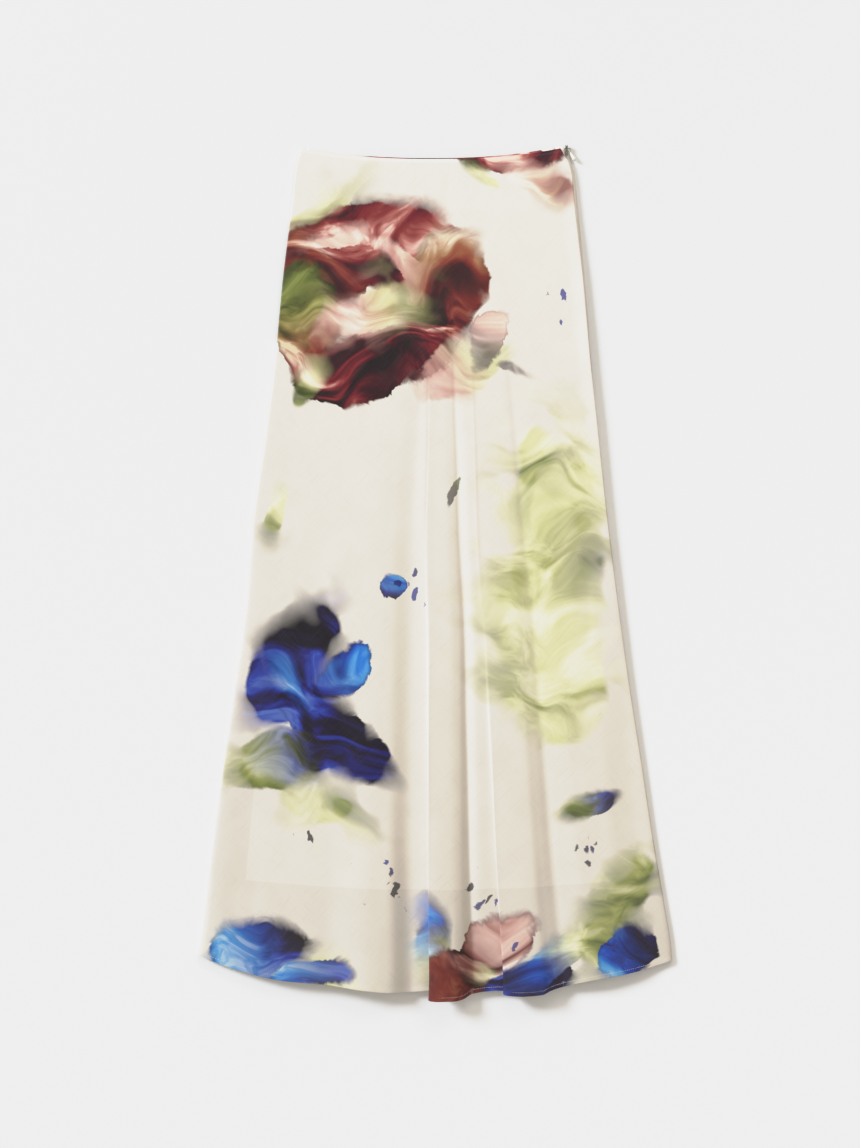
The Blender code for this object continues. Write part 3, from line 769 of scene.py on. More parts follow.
def from_hex(text):
    """A colour as a shader wants it, from how it looks on a screen."""
    channels = (int(text[i:i + 2], 16) / 255 for i in (0, 2, 4))
    return tuple(((c + 0.055) / 1.055) ** 2.4 if c > 0.04045 else c / 12.92 for c in channels)


def new_group(name, inputs, outputs):
    """An empty shader group with its input and output nodes."""
    group = bpy.data.node_groups.new(name, "ShaderNodeTree")
    for way, sockets in (("INPUT", inputs), ("OUTPUT", outputs)):
        for label, kind in sockets.items():
            group.interface.new_socket(label, in_out=way, socket_type="NodeSocket" + kind)
    return (group, group.nodes.new("NodeGroupInput").outputs,
            group.nodes.new("NodeGroupOutput").inputs)


def palette_ramp(tree, palette, factor):
    ramp = node(tree, "ValToRGB", {0: factor})
    for k, (place, colour) in enumerate(PALETTES[palette]):
        stop = ramp.color_ramp.elements[k] if k < 2 else ramp.color_ramp.elements.new(place)
        stop.position = place
        stop.color = rgba(from_hex(colour))
    return ramp.outputs[0]


def shifted(tree, vector, shift, scale):
    """The vector moved by a shift whose parts run from 0 to 1, centred and scaled."""
    centred = vector_math(tree, "ADD", shift, (-0.5, -0.5, -0.5))
    return vector_math(tree, "MULTIPLY_ADD", centred, (scale, scale, 0.0), vector)


def motif_group():
    """Paints one motif over a colour: an ellipse whose edge follows the warped place."""
    group, given, result = new_group(
        "motif",
        {"Under": "Color", "Start": "Color", "End": "Color", "Smooth": "Vector", "Torn": "Vector",
         "Swirl": "Float", "Fray": "Float", "Middle": "Vector", "Size": "Vector", "Turn": "Vector",
         "Ragged": "Float", "Soft": "Float", "Strength": "Float"},
        {"Colour": "Color"})
    place = node(group, "Mix", {0: given["Ragged"], 4: given["Smooth"], 5: given["Torn"]},
                 data_type="VECTOR").outputs[1]
    unit = mapped(group, place, "TEXTURE", Location=given["Middle"], Rotation=given["Turn"],
                  Scale=given["Size"])
    reach = vector_math(group, "LENGTH", unit)
    edge = arithmetic(group, "MULTIPLY", given["Fray"], given["Soft"])
    cover = ranged(group, reach, arithmetic(group, "SUBTRACT", 1.0, edge),
                   arithmetic(group, "ADD", 1.0, edge), given["Strength"], 0.0)
    along = node(group, "SeparateXYZ", {0: unit}).outputs[0]
    along = arithmetic(group, "MULTIPLY_ADD", given["Swirl"], 1.6, along)
    paint = mixed(group, ranged(group, along, 0.1, 1.5), given["Start"], given["End"])
    crisp = arithmetic(group, "MULTIPLY_ADD", given["Soft"], -4.0, 1.0, clamp=True)
    rim = arithmetic(group, "MULTIPLY", ranged(group, reach, 0.84, 0.98), crisp)
    paint = mixed(group, rim, paint, (0.42, 0.34, 0.38, 1.0), blend="MULTIPLY")
    group.links.new(mixed(group, cover, given["Under"], paint), result["Colour"])
    return group


def print_group():
    """The colour of the printed satin at a place on the flat cut."""
    group = bpy.data.node_groups.get("print")
    if group:
        return group
    group, given, result = new_group("print", {"Place": "Vector", "Ground": "Color"},
                                     {"Colour": "Color"})
    place = given["Place"]
    broad = shifted(group, place, noisy(group, place, 9.0, 1.0, output="Color"), 0.060)
    torn = shifted(group, broad, noisy(group, place, 38.0, 7.0, 0.60, 0.8, output="Color"), 0.024)
    flow = shifted(group, place, noisy(group, broad, 9.0, 1.5, output="Color"), 0.19)
    brushed = mapped(group, flow, Scale=(1.0, 2.2, 1.0), Rotation=(0.0, 0.0, 0.6))
    swirl = noisy(group, brushed, 9.0, 2.0, 0.45, 0.8)
    strokes = noisy(group, brushed, 34.0, 3.0, 0.5, 1.2)
    swirl_share = ranged(group, swirl, 0.30, 0.70)
    tone = arithmetic(group, "MULTIPLY_ADD", arithmetic(group, "SUBTRACT", strokes, 0.5), 0.75,
                      swirl_share, clamp=True)
    fray = ranged(group, noisy(group, place, 21.0, 1.0), 0.38, 0.62, 0.25, 2.4)
    paints = {name: palette_ramp(group, name, tone) for name in PALETTES}
    motif_tree = motif_group()
    colour = given["Ground"]
    for motif in MOTIFS:
        colour = node(group, "Group", {
            "Under": colour, "Start": paints[motif.start], "End": paints[motif.end],
            "Smooth": broad, "Torn": torn, "Swirl": swirl, "Fray": fray,
            "Middle": (motif.across * MM, motif.up * MM, 0.0),
            "Size": (motif.long * MM, motif.wide * MM, 1.0),
            "Turn": (0.0, 0.0, math.radians(motif.turn)), "Ragged": motif.ragged,
            "Soft": motif.soft, "Strength": motif.strength}, node_tree=motif_tree).outputs[0]
    group.links.new(specked(group, torn, place, colour), result["Colour"])
    return group


def specked(tree, torn, place, colour):
    """Small dark marks scattered in a few places."""
    covers = []
    for spray in SPRAYS:
        away = vector_math(tree, "DISTANCE", place, (spray.across * MM, spray.up * MM, 0.0))
        covers.append(ranged(tree, away, 0.3 * spray.radius * MM, spray.radius * MM, 1.0, 0.0))
    spray_cover = reduce(lambda a, b: arithmetic(tree, "MAXIMUM", a, b), covers)
    squeezed = mapped(tree, torn, Scale=(1.0, 0.55, 1.0))
    cells = node(tree, "TexVoronoi", {"Vector": squeezed, "Scale": SPECKS_A_METRE})
    chance = node(tree, "SeparateColor", {0: cells.outputs["Color"]})
    size = arithmetic(tree, "MULTIPLY", chance.outputs[0], 0.62)
    size = arithmetic(tree, "MULTIPLY", size, spray_cover)
    marks = ranged(tree, arithmetic(tree, "SUBTRACT", size, cells.outputs["Distance"]), -0.05, 0.06)
    kept = arithmetic(tree, "GREATER_THAN", chance.outputs[1], 0.30)
    marks = arithmetic(tree, "MULTIPLY", arithmetic(tree, "MULTIPLY", marks, kept), 0.85)
    tone = palette_ramp(tree, "ink", arithmetic(tree, "MULTIPLY", chance.outputs[2], 0.7))
    return mixed(tree, marks, colour, tone)


def twill(tree, cut):
    """The weave's height and its slubs, both on the bias of the cut."""
    bias = mapped(tree, cut, Rotation=(0.0, 0.0, BIAS))
    ribs = bands(tree, bias, TWILL_SCALE, 1.2, **{"Detail Scale": 3.0})
    across = noisy(tree, mapped(tree, bias, Scale=(640.0, 30.0, 1.0)), 1.0)
    along = noisy(tree, mapped(tree, bias, Scale=(34.0, 560.0, 1.0)), 1.0)
    slubs = arithmetic(tree, "MAXIMUM", ranged(tree, across, 0.52, 0.78),
                       ranged(tree, along, 0.54, 0.80))
    return arithmetic(tree, "MULTIPLY_ADD", ribs, 0.30, slubs), slubs


def unlined(tree):
    """1 where the front has no lining under it: below the lining's hem and to its left."""
    x, y, _ = node(tree, "SeparateXYZ", {0: object_place(tree)}).outputs
    bend = arithmetic(tree, "POWER", arithmetic(tree, "DIVIDE", x, LINING_HALF_HEM), 2.0)
    hem = arithmetic(tree, "MULTIPLY_ADD", bend, LINING_HEM_DROP, LINING_HEM_Y - LINING_HEM_DROP)
    below = ranged(tree, arithmetic(tree, "SUBTRACT", hem, y), -0.8 * MM, 0.8 * MM)
    flare = (LINING_HALF_HEM - LINING_HALF_WAIST) / (WAIST_Y - LINING_HEM_Y)
    half = arithmetic(tree, "MULTIPLY_ADD", y, -flare, LINING_HALF_WAIST + flare * WAIST_Y)
    beside = ranged(tree, arithmetic(tree, "ADD", x, half), 1.0 * MM, -1.0 * MM)
    low = ranged(tree, y, *SIDE_SHOWS)
    return arithmetic(tree, "MAXIMUM", below, arithmetic(tree, "MULTIPLY", beside, low))


def satin(name, strength=1.0, turned=False, see_lining=False, from_middle=0.0):
    """Satin twill with its print. The back is cut from the same cloth, turned round, and the
    facing from a place that lies so far from the front's middle."""
    cloth = bpy.context.scene.skirt_cloth
    material, tree, shader = new_material(name)
    cut = cut_place(tree)
    place = mapped(tree, cut, Rotation=(0.0, 0.0, math.pi if turned else 0.0),
                   Location=BACK_SHIFT if turned else (from_middle, 0.0, 0.0))
    painted = node(tree, "Group", {"Place": place, "Ground": rgba(cloth.ground)},
                   node_tree=print_group()).outputs[0]
    colour = mixed(tree, strength * cloth.print_strength, rgba(cloth.ground), painted)
    height, slubs = twill(tree, cut)
    mottle = ranged(tree, noisy(tree, cut, 24.0, 3.0), 0.3, 0.7, 0.0, 0.035)
    shade = arithmetic(tree, "MULTIPLY_ADD", slubs, 0.075, mottle)
    if see_lining:
        shade = arithmetic(tree, "MULTIPLY_ADD", unlined(tree), cloth.show_through, shade)
    set_shader(tree, shader, Base_Color=mixed(tree, shade, colour, SATIN_SHADOW), Roughness=0.52,
               Specular_IOR_Level=0.30, Sheen_Weight=0.10, Sheen_Roughness=0.45)
    link_bump(tree, shader, height, 0.07 * MM, 0.8)
    return material


def plain_weave(name, colour, pitch, roughness):
    """A plain woven cloth: lining voile and zip tape."""
    material, tree, shader = new_material(name)
    cut = cut_place(tree)
    threads = [bands(tree, cut, BAND_LENGTH / pitch, 0.6, direction) for direction in "XY"]
    weave = arithmetic(tree, "MAXIMUM", *threads)
    mottle = ranged(tree, noisy(tree, cut, 30.0, 3.0), 0.3, 0.7, 0.0, 0.06)
    shade = arithmetic(tree, "MULTIPLY_ADD", weave, -0.05, mottle)
    shade = arithmetic(tree, "ADD", shade, 0.05)
    set_shader(tree, shader, Base_Color=mixed(tree, shade, rgba(colour), WEAVE_SHADOW),
               Roughness=roughness, Specular_IOR_Level=0.25, Sheen_Weight=0.08)
    link_bump(tree, shader, weave, 0.08 * MM)
    return material


def lacquer(name, colour, roughness, metallic, worn):
    """Lacquered or enamelled metal: slightly uneven, and worn along its edges."""
    material, tree, shader = new_material(name)
    place = object_place(tree)
    cloud = noisy(tree, place, 900.0, 4.0)
    edges = ranged(tree, node(tree, "NewGeometry").outputs["Pointiness"], 0.52, 0.60)
    wear = arithmetic(tree, "MULTIPLY", edges, ranged(tree, cloud, 0.40, 0.62))
    tint = mixed(tree, ranged(tree, cloud, 0.3, 0.7, 0.0, 0.12), rgba(colour), METAL_HAZE)
    set_shader(tree, shader, Base_Color=mixed(tree, wear, tint, rgba(worn)),
               Roughness=ranged(tree, cloud, 0.2, 0.8, roughness * 0.8, roughness * 1.3),
               Metallic=metallic, Coat_Weight=0.3, Coat_Roughness=0.15)
    link_bump(tree, shader, noisy(tree, place, 2600.0), 0.012 * MM)
    return material


def thread(name, colour):
    """Spun thread, for stitches and the zip's coil."""
    material, tree, shader = new_material(name)
    ply = noisy(tree, object_place(tree), 2400.0)
    shade = ranged(tree, ply, 0.3, 0.7, 0.0, 0.25)
    set_shader(tree, shader, Base_Color=mixed(tree, shade, rgba(colour), THREAD_SHADOW),
               Roughness=0.55, Specular_IOR_Level=0.35)
    link_bump(tree, shader, ply, 0.03 * MM)
    return material


# ---------------------------------------------------------------- the pieces
FRONT_STOPS = spaced(KNOTS, [line.columns for line in LINES])
BACK_ROWS, BACK_COLUMNS = 130, 90
FACING_ROWS, FACING_COLUMNS = 14, 70
LINING_ROWS, LINING_COLUMNS = 70, 60
TAPE_ROWS, TAPE_COLUMNS = 60, 7
BACK_HEM_COLUMNS = 70
FACING_Z = 1.9 * MM
LINING_LIFT = 0.3 * MM               # of each shell over the underside of its solid's wall
TAPE_LIFT = 0.35 * MM
BACK_TAPE_LIFT = 0.25 * MM
FRONT_TURNING = -0.08 * MM           # the front's turned cloth, from the front's underside
BACK_TURNING = 0.06 * MM             # the back's, from the back's top
TURNING_ENDS = 5 * MM                # the turned cloth starts this far in from the sides
STITCH_DIP = 0.16 * MM
STITCH_DIP_WIDTH = 0.7 * MM
STITCH_ROOM = 0.9                    # how close two may come, against their usual step
STITCH_HALF_LENGTH = 0.39            # against the same step
STITCH_HALF_WIDTH = 0.17 * MM
STITCH_HALF_HEIGHT = 0.13 * MM
FRONT_STITCH_START = 3 * MM
BACK_STITCH_START = 6 * MM
HEM_SWELL = 0.22 * MM
HEM_SWELL_STEP = 1.0 * MM
HEM_FOLD = 6.3 * MM
COIL_LEAN = 0.25
COIL_END = 4 * MM
SLIDER_TAIL = 0.72                   # its plates' depth at the lower end, against the upper
POST_SUNK = 0.4 * MM
POST_LENGTH = 3.6 * MM
POST_HEIGHT = 1.6 * MM
SLIDER_ROUNDING = 0.34 * MM


def hem_relief(above_edge, stitch_line):
    """The turned cloth swells the hem, and its stitching draws it in."""
    swell = HEM_SWELL * ease((HEM_FOLD - above_edge) / HEM_SWELL_STEP)
    return swell - STITCH_DIP * math.exp(-((above_edge - stitch_line) / STITCH_DIP_WIDTH) ** 2)


def front_rows():
    """The front shell's underside, with its creases, as rows of points."""
    stitch_line = bpy.context.scene.skirt_cloth.stitch_line
    hem_downs = [1 - above * MM / LENGTH for above in HEM_ROWS]
    rows = []
    for down in even(0, hem_downs[0], PLAIN_ROWS)[:-1] + hem_downs:
        section = front_section(down)
        above_edge = (1 - down) * LENGTH
        row = []
        for along in FRONT_STOPS:
            point = section(along)
            inside = min(along, KNOTS[-1] - along)
            point.z += ease(inside / SIDE_GIVE) * (
                sum(rumpled(point, r) for r in FRONT_RUMPLES) + standing(along, down)
                - creased(point, FRONT_CREASES) - pinched(along, down))
            point.z += hem_relief(above_edge, stitch_line) * ease(inside / HEM_GIVE)
            row.append(point)
        rows.append(row)
    return rows


class SkirtFrontCloth(bpy.types.Operator):
    """Adds the front of the skirt, a satin shell with its folds and creases"""
    bl_idname = "skirt.front_cloth"
    bl_label = "Front"

    def execute(self, context):
        cloth = context.scene.skirt_cloth
        front = woven("front_cloth", front_rows(), cloth.thickness,
                      [satin("satin_front", see_lining=True),
                       satin("satin_inside", strength=INSIDE_PRINT)])
        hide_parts("front_panel")
        return {"FINISHED"}


class SkirtBackCloth(bpy.types.Operator):
    """Adds the back of the skirt, which lies flat under the front"""
    bl_idname = "skirt.back_cloth"
    bl_label = "Back"

    def execute(self, context):
        cloth = context.scene.skirt_cloth
        rows = [[back_point(a, down, 0.0) for a in even(0, 1, BACK_COLUMNS)]
                for down in even(0, 1, BACK_ROWS)]
        back = woven("back_cloth", rows, cloth.thickness,
                     [satin("satin_inside_back", strength=INSIDE_PRINT, turned=True),
                      satin("satin_back", turned=True)])
        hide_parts("back_panel")
        return {"FINISHED"}


def front_top(along, above_edge, lift):
    """A point over the front's cloth near its hem, its direction along it, and upwards."""
    step = 0.4 * MM
    down = 1 - above_edge / LENGTH
    section = front_section(down)
    point = section(along)
    across = (section(along + step) - section(along - step)).normalized()
    up_cloth = (front_section(down - step / LENGTH)(along) - point).normalized()
    out = across.cross(up_cloth).normalized()
    return point + out * lift, across, out


def stitch_row(name, starts, thread_material):
    """A row of short stitches. starts gives each one's place, direction and outward side."""
    pattern = bmesh.new()
    bmesh.ops.create_uvsphere(pattern, u_segments=8, v_segments=6, radius=1.0)
    bmesh.ops.rotate(pattern, matrix=Matrix.Rotation(math.pi / 2, 3, "Y"), verts=pattern.verts)
    half = bpy.context.scene.skirt_cloth.stitch * STITCH_HALF_LENGTH
    bmesh.ops.scale(pattern, vec=(half, STITCH_HALF_WIDTH, STITCH_HALF_HEIGHT),
                    verts=pattern.verts)
    places = []
    for point, along, out in starts:
        aside = out.cross(along).normalized()
        turn = Matrix((along, aside, out)).transposed()
        places.append(Matrix.Translation(point) @ turn.to_4x4())
    row = copies(name, pattern, places, [thread_material])
    return row


def apart(starts, least):
    """Leaves out a stitch that would run into the one before it, as inside a tucked fold."""
    kept = starts[:1]
    for start in starts[1:]:
        if (start[0] - kept[-1][0]).length > least:
            kept.append(start)
    return kept


class SkirtHems(bpy.types.Operator):
    """Adds the turned hems and their stitching"""
    bl_idname = "skirt.hems"
    bl_label = "Hems"

    def execute(self, context):
        cloth = context.scene.skirt_cloth
        inside = satin("satin_hem", strength=HEM_PRINT)
        stops = [s for s in FRONT_STOPS if TURNING_ENDS < s < KNOTS[-1] - TURNING_ENDS]
        heights = (HEM_FOLD, HEM_FOLD * 0.66, HEM_FOLD * 0.33, HEM_ALLOWANCE, 0.15 * MM)
        rows = [[front_top(s, above, FRONT_TURNING)[0] for s in stops] for above in heights]
        turned = woven("front_hem_turning", rows, INNER_SHELL, [inside], side=-1)
        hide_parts("front_hem")

        rows = [[back_point(a, 1 - above / LENGTH, cloth.thickness + BACK_TURNING, TURNING_ENDS)
                 for a in even(0, 1, BACK_HEM_COLUMNS)]
                for above in (HEM_FOLD, HEM_FOLD * 0.5, 0.2 * MM)]
        turned = woven("back_hem_turning", rows, INNER_SHELL, [inside])
        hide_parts("back_hem")

        cotton = thread("hem_thread", (0.80, 0.78, 0.74))
        count = int((KNOTS[-1] - 2 * FRONT_STITCH_START) / cloth.stitch)
        starts = [front_top(FRONT_STITCH_START + k * cloth.stitch, cloth.stitch_line,
                            cloth.thickness + 0.03 * MM) for k in range(count)]
        stitch_row("front_hem_stitches", apart(starts, cloth.stitch * STITCH_ROOM), cotton)
        down = 1 - cloth.stitch_line / LENGTH
        width = back_right_edge(down) - left_edge(down)
        starts = []
        for k in range(int((width - 2 * BACK_STITCH_START) / cloth.stitch)):
            a = (BACK_STITCH_START + k * cloth.stitch) / width
            point = back_point(a, down, cloth.thickness + INNER_SHELL + 0.08 * MM)
            along = (back_point(a + 0.01, down, point.z) - point).normalized()
            starts.append((point, along, Vector((0, 0, 1))))
        stitch_row("back_hem_stitches", starts, cotton)
        return {"FINISHED"}


class SkirtFacing(bpy.types.Operator):
    """Adds the facing inside the back of the waist"""
    bl_idname = "skirt.facing"
    bl_label = "Facing"

    def execute(self, context):
        rows = []
        for below_waist in even(FACING_BELOW_WAIST, FACING_DEPTH, FACING_ROWS):
            down = max(0.0, down_at(WAIST_Y + BACK_WAIST_RISE - below_waist))
            left, right = left_edge(down) + FACING_INSET, inside_tape(down)
            rows.append([Vector((left + (right - left) * a,
                                 waist_y(a) + BACK_WAIST_RISE - below_waist, FACING_Z))
                         for a in even(0, 1, FACING_COLUMNS)])
        facing = woven("waist_facing", rows, INNER_SHELL,
                       [satin("satin_facing", from_middle=FACING_FROM_MIDDLE)])
        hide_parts("back_waist_facing")
        return {"FINISHED"}


def lining_rows(z, below_waist):
    rows = []
    for fraction in even(0, 1, LINING_ROWS):
        row = []
        for across in even(0, 1, LINING_COLUMNS):
            top = waist_y(across) - below_waist
            hem = LINING_HEM_Y - LINING_HEM_DROP * (1 - abs(2 * across - 1) ** 2)
            y = top + (hem - top) * fraction
            flare = (WAIST_Y - y) / (WAIST_Y - LINING_HEM_Y)
            half = LINING_HALF_WAIST + (LINING_HALF_HEM - LINING_HALF_WAIST) * flare
            right = min(inside_tape(down_at(y)), half)
            point = Vector((-half + (right + half) * across, y, z))
            point.z += rumpled(point, LINING_RUMPLE)
            row.append(point)
        rows.append(row)
    return rows


class SkirtLinings(bpy.types.Operator):
    """Adds the two panels of the loose lining"""
    bl_idname = "skirt.linings"
    bl_label = "Linings"

    def execute(self, context):
        voile = plain_weave("lining_voile", context.scene.skirt_cloth.lining, 0.35 * MM, 0.7)
        for name, node_name, z, below_waist in (
                ("front_lining_voile", "front_lining", LAYER_2 + LINING_LIFT,
                 LINING_TOP_BELOW_WAIST),
                ("back_lining_voile", "back_lining", LAYER_1 + LINING_LIFT,
                 FACING_DEPTH + 0.6 * MM)):
            lining = woven(name, lining_rows(z, below_waist), INNER_SHELL, [voile])
            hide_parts(node_name)
        return {"FINISHED"}


class SkirtZipTapes(bpy.types.Operator):
    """Adds the zip's tapes, its coil and the slider with its bridge"""
    bl_idname = "skirt.zip_tapes"
    bl_label = "Zip"

    def execute(self, context):
        zip_set = context.scene.skirt_zip
        tape = plain_weave("zip_tape", zip_set.tape, 0.5 * MM, 0.75)
        for name, node_name, z in (("front_tape", "zip_tape_front", LAYER_2 + TAPE_LIFT),
                                   ("back_tape", "zip_tape_back", LAYER_1 + BACK_TAPE_LIFT)):
            rows = []
            for y in even(TAPE_TOP_Y, TAPE_TOP_Y - ZIP_LENGTH, TAPE_ROWS):
                outer = tape_edge(max(down_at(y), 0.0))
                rows.append([Vector((outer - TAPE_WIDTH * (1 - a), y, z))
                             for a in even(0, 1, TAPE_COLUMNS)])
            strip = woven(name, rows, INNER_SHELL, [tape])
            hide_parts(node_name)
        self.coil(zip_set)
        self.slider(zip_set)
        return {"FINISHED"}

    def coil(self, zip_set):
        """The closed coil between the tapes' outer edges, a flattened ring for each turn."""
        turn = bmesh.new()
        bmesh.ops.create_circle(turn, segments=6, radius=COIL_THREAD)
        bmesh.ops.translate(turn, vec=(COIL_RADIUS, 0, 0), verts=turn.verts)
        bmesh.ops.spin(turn, geom=turn.verts[:] + turn.edges[:], cent=(0, 0, 0), axis=(0, 1, 0),
                       angle=math.tau, steps=10, use_merge=True)
        bmesh.ops.recalc_face_normals(turn, faces=turn.faces)
        z = (LAYER_1 + LAYER_2 + INNER_SHELL) / 2 + 0.3 * MM
        places = []
        y = TAPE_TOP_Y - COIL_TOP_BELOW
        while y > TAPE_TOP_Y - ZIP_LENGTH + COIL_END:
            x = tape_edge(down_at(y))
            places.append(Matrix.Translation((x, y, z)) @ Matrix.Rotation(COIL_LEAN, 4, "Z"))
            y -= zip_set.coil_pitch
        coil = copies("zip_coil", turn, places, [thread("coil_nylon", (0.78, 0.74, 0.66))])

    def slider(self, zip_set):
        """Two rounded plates joined by a post, seen edge-on, with a bent wire on the outer one."""
        metal = lacquer("slider_lacquer", zip_set.metal, 0.32, 1.0, (0.42, 0.40, 0.37))
        bm = bmesh.new()
        centre = PULL_PIVOT - Vector((BRIDGE_STAND + SLIDER_SIZE.x / 2, 0, 0))
        gap = SLIDER_SIZE.x - 2 * SLIDER_PLATE
        for sign in (-1, 1):
            plate = bmesh.ops.create_cube(bm, size=1.0)["verts"]
            bmesh.ops.scale(bm, vec=(SLIDER_PLATE, SLIDER_SIZE.y, SLIDER_SIZE.z), verts=plate)
            for vert in plate:
                if vert.co.y < 0:
                    vert.co.z *= SLIDER_TAIL
            bmesh.ops.translate(bm, vec=(sign * (gap + SLIDER_PLATE) / 2, 0, 0), verts=plate)
        post = bmesh.ops.create_cube(bm, size=1.0)["verts"]
        bmesh.ops.scale(bm, vec=(gap + POST_SUNK, POST_LENGTH, POST_HEIGHT), verts=post)
        bmesh.ops.translate(bm, vec=(0, POST_LENGTH, 0), verts=post)
        bmesh.ops.bevel(bm, geom=bm.edges[:], offset=SLIDER_ROUNDING, segments=3, affect="EDGES",
                        profile=0.5, material=-1)
        bmesh.ops.translate(bm, vec=centre, verts=bm.verts)
        slider = add_object("zip_slider_body", bm, [metal])
        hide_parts("zip_slider")

        wire = bpy.data.curves.new("zip_bridge", "CURVE")
        wire.dimensions = "3D"
        wire.bevel_depth = BRIDGE_WIRE
        wire.bevel_resolution = 3
        wire.use_fill_caps = True
        leg = Vector((-BRIDGE_STAND - BRIDGE_ROOT, BRIDGE_RADIUS, 0))
        arc = [Vector((math.cos(a), math.sin(a), 0)) * BRIDGE_RADIUS
               for a in (math.radians(90 - 12 * k) for k in range(16))]
        points = [leg] + arc + [Vector((leg.x, -leg.y, 0))]
        spline = wire.splines.new("POLY")
        spline.points.add(len(points) - 1)
        for target, point in zip(spline.points, points):
            target.co = (*(point + PULL_PIVOT), 1.0)
        wire.materials.append(metal)
        bridge = linked("zip_bridge_wire", wire)
        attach(bridge, "skirt")


class SkirtPull(bpy.types.Operator):
    """Adds the teardrop pull on the slider's bridge"""
    bl_idname = "skirt.pull"
    bl_label = "Pull"

    def execute(self, context):
        zip_set = context.scene.skirt_zip
        bm = bmesh.new()
        top = bm.verts.new((0, -PULL_PROFILE[0].along * MM + 0.15 * MM, 0))
        rings = [bm.verts.new((ring.radius * MM, -ring.along * MM, 0)) for ring in PULL_PROFILE]
        tip = bm.verts.new((0, -PULL_LENGTH, 0))
        line = [top] + rings + [tip]
        for a, b in zip(line, line[1:]):
            bm.edges.new((a, b))
        bmesh.ops.spin(bm, geom=bm.verts[:] + bm.edges[:], cent=(0, 0, 0), axis=(0, 1, 0),
                       angle=math.tau, steps=zip_set.ring_steps, use_merge=True)
        bmesh.ops.remove_doubles(bm, verts=bm.verts, dist=0.01 * MM)
        eye = bmesh.ops.create_circle(bm, segments=12, radius=EYE_WIRE)["verts"]
        edges = [e for e in bm.edges if e.verts[0] in eye]
        bmesh.ops.translate(bm, vec=(0, EYE_RADIUS - BRIDGE_RADIUS, 0), verts=eye)
        bmesh.ops.spin(bm, geom=eye + edges, cent=(0, -BRIDGE_RADIUS, 0), axis=(1, 0, 0),
                       angle=math.tau, steps=20, use_merge=True)
        bmesh.ops.recalc_face_normals(bm, faces=bm.faces)
        place = Matrix.Translation(PULL_PIVOT) @ Matrix.Rotation(PULL_REST, 4, "Z")
        bmesh.ops.transform(bm, matrix=place, verts=bm.verts)
        enamel = lacquer("pull_enamel", zip_set.enamel, 0.28, 0.0, (0.45, 0.40, 0.32))
        pull = add_object("pull_teardrop", bm, [enamel], body="pull")
        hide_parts("zip_pull")
        return {"FINISHED"}


class SkirtSheets(bpy.types.Operator):
    """A step for the flat cuts of the sheets of cloth, which adds nothing"""
    bl_idname = "skirt.sheets"
    bl_label = "Flat cuts"

    def execute(self, context):
        return {"FINISHED"}


# ---------------------------------------------------------------- floor, light and camera
Lamp = namedtuple("Lamp", "name place width depth")
KEY = Lamp("key", Vector((-9.28, 5.30, 5.46)), 3.6, 3.6)
TOP = Lamp("top", Vector((0.45, 1.30, 1.10)), 1.4, 0.6)
VIEW_CENTRE = Vector((-6.84, 1.2, 0.0)) * MM
VIEW_HEIGHT = 1.3776                 # metres of the floor from the picture's top to its bottom
SENSOR_MM = 36.0
FLOOR_HALF = 4.0
FLOOR_GAP = 0.2 * MM

# How the camera turns the scene's light into the picture's: a soft shoulder keeps the lit
# sides of the folds from glaring
Tone = namedtuple("Tone", "light picture")
TONE_TOP = 2.0
TONES = (Tone(0.0, 0.0), Tone(0.2, 0.155), Tone(0.6, 0.475), Tone(0.95, 0.785),
         Tone(1.2, 0.863), Tone(2.0, 0.98))


def falling(tree, place, lamp):
    """The light of a lamp at a place on the floor, against that at the frame's origin."""
    beam = vector_math(tree, "SUBTRACT", place, lamp.place)
    ahead = vector_math(tree, "DOT_PRODUCT", beam, -lamp.place.normalized())
    squared = vector_math(tree, "DOT_PRODUCT", beam, beam)
    ratio = arithmetic(tree, "DIVIDE", ahead, arithmetic(tree, "MULTIPLY", squared, squared))
    return arithmetic(tree, "MULTIPLY", ratio, lamp.place.length ** 3)


def floor_material(stage, shares):
    """A pale floor that looks evenly lit: its paint makes up for the lamps' falling off."""
    material, tree, shader = new_material("pale_floor")
    place = object_place(tree)
    lit = all_round(shares)
    for lamp, share in shares:
        lit = vector_math(tree, "MULTIPLY_ADD", falling(tree, place, lamp), share, lit)
    paint = vector_math(tree, "DIVIDE", (stage.floor,) * 3, lit)
    set_shader(tree, shader, Base_Color=paint, Roughness=1.0, Specular_IOR_Level=0.0)
    return material


def all_round(shares):
    """The share of the floor's light that is left to come from all round."""
    return tuple(1 - sum(channel) for channel in zip(*(share for _, share in shares)))


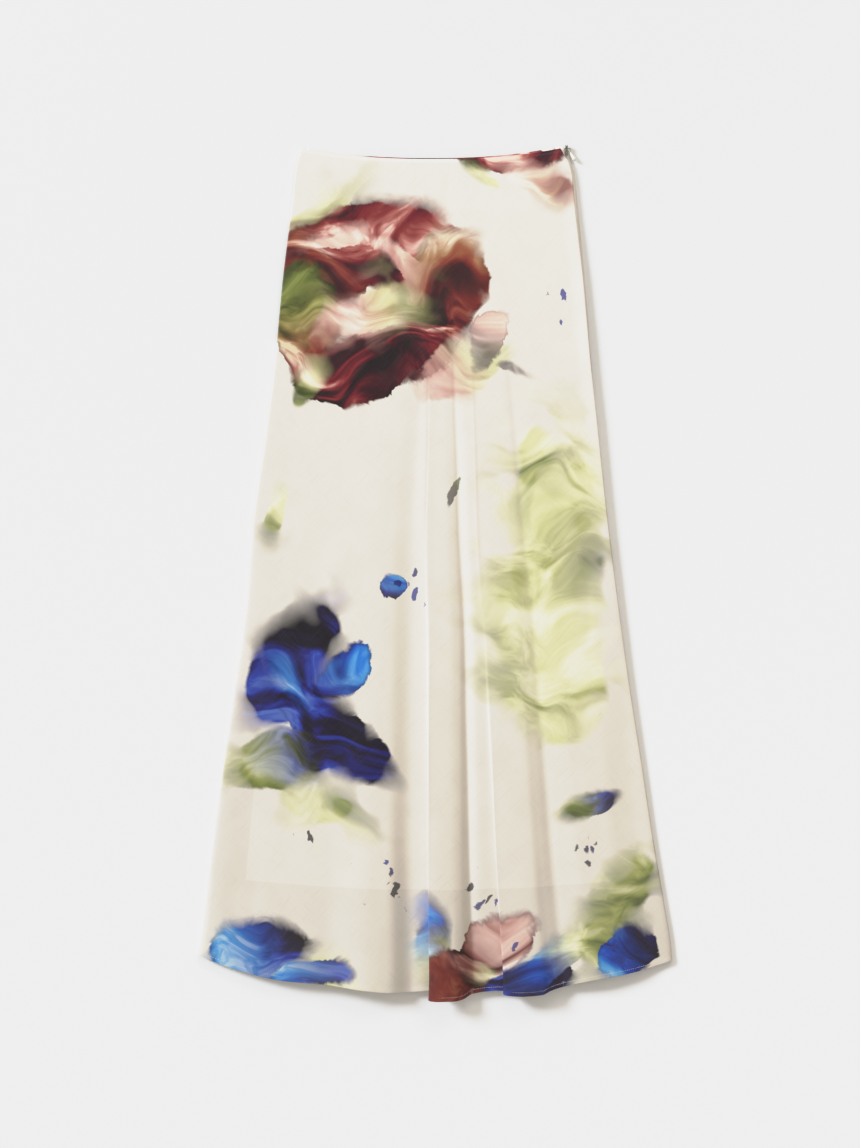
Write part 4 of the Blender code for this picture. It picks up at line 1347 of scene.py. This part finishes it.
class SkirtSetStage(bpy.types.Operator):
    """Adds the pale floor, the soft light and the camera over the skirt"""
    bl_idname = "skirt.stage"
    bl_label = "Floor, light and camera"

    def execute(self, context):
        stage = context.scene.skirt_stage
        shares = ((KEY, tuple(stage.key_share)), (TOP, tuple(stage.top_share)))
        bm = bmesh.new()
        bmesh.ops.create_grid(bm, x_segments=1, y_segments=1, size=FLOOR_HALF)
        bmesh.ops.translate(bm, vec=(0, 0, -FLOOR_GAP), verts=bm.verts)
        mesh = bpy.data.meshes.new("floor")
        bm.to_mesh(mesh)
        bm.free()
        mesh.materials.append(floor_material(stage, shares))
        floor = linked("floor", mesh)

        needed = stage.floor_light / stage.floor
        for lamp, share in shares:
            light = bpy.data.lights.new(lamp.name, "AREA")
            light.shape = "ELLIPSE"
            light.size, light.size_y = lamp.width, lamp.depth
            light.color = share
            light.energy = needed * math.pi ** 2 * lamp.place.length ** 3 / lamp.place.z
            holder = linked(lamp.name, light)
            holder.location = lamp.place
            holder.rotation_euler = (-lamp.place).to_track_quat("-Z", "Y").to_euler()

        world = bpy.data.worlds.new("soft_fill")
        world.use_nodes = True
        background = world.node_tree.nodes["Background"]
        feed(world.node_tree, background, {0: rgba(all_round(shares)), 1: needed})
        self.pale_beyond(world.node_tree, background, stage.floor_light)
        context.scene.world = world

        lens = bpy.data.cameras.new("overhead")
        lens.sensor_fit = "VERTICAL"
        lens.sensor_height = SENSOR_MM
        lens.lens = SENSOR_MM * stage.camera_height / VIEW_HEIGHT
        camera = linked("overhead", lens)
        camera.location = VIEW_CENTRE + Vector((0, 0, stage.camera_height))
        context.scene.camera = camera
        self.develop(context.scene.view_settings)
        return {"FINISHED"}

    def pale_beyond(self, tree, fill, light):
        """Past the floor's edge the camera sees its paleness. The light from there stays."""
        seen = node(tree, "Background", {0: (1.0, 1.0, 1.0, 1.0), 1: light})
        camera_ray = node(tree, "LightPath").outputs["Is Camera Ray"]
        both = node(tree, "MixShader",
                    {0: camera_ray, 1: fill.outputs[0], 2: seen.outputs[0]})
        tree.links.new(both.outputs[0], tree.nodes["World Output"].inputs["Surface"])

    def develop(self, view):
        """Sets the picture's tones."""
        view.view_transform = "Standard"
        view.use_curve_mapping = True
        mapping = view.curve_mapping
        mapping.white_level = (TONE_TOP,) * 3
        mapping.use_clip = False
        curve = mapping.curves[3]
        for tone in TONES[1:-1]:
            curve.points.new(tone.light / TONE_TOP, tone.picture)
        curve.points[0].location = (TONES[0].light / TONE_TOP, TONES[0].picture)
        curve.points[-1].location = (TONES[-1].light / TONE_TOP, TONES[-1].picture)
        mapping.update()


PIECES = (SkirtFrontCloth, SkirtBackCloth, SkirtHems, SkirtFacing, SkirtLinings, SkirtZipTapes,
          SkirtPull, SkirtSheets, SkirtSetStage)
SETTINGS = {"skirt_cloth": SkirtCloth, "skirt_zip": SkirtZip, "skirt_stage": SkirtStage}


class SkirtPanel(bpy.types.Panel):
    """Lists the skirt's settings and pieces"""
    bl_idname = "VIEW3D_PT_skirt"
    bl_label = "Skirt"
    bl_space_type = "VIEW_3D"
    bl_region_type = "UI"
    bl_category = "Skirt"

    def draw(self, context):
        for name in SETTINGS:
            box = self.layout.box()
            settings = getattr(context.scene, name)
            for key in settings.__annotations__:
                box.prop(settings, key)
        for piece in PIECES:
            self.layout.operator(piece.bl_idname)


def register():
    for cls in (*SETTINGS.values(), *PIECES, SkirtPanel):
        bpy.utils.register_class(cls)
    for name, cls in SETTINGS.items():
        setattr(bpy.types.Scene, name, PointerProperty(type=cls))


def unregister():
    for name in SETTINGS:
        delattr(bpy.types.Scene, name)
    for cls in (SkirtPanel, *reversed(PIECES), *SETTINGS.values()):
        bpy.utils.unregister_class(cls)


def main():
    register()
    for piece in PIECES:
        group, name = piece.bl_idname.split(".")
        getattr(getattr(bpy.ops, group), name)()


if __name__ == "__main__":
    main()
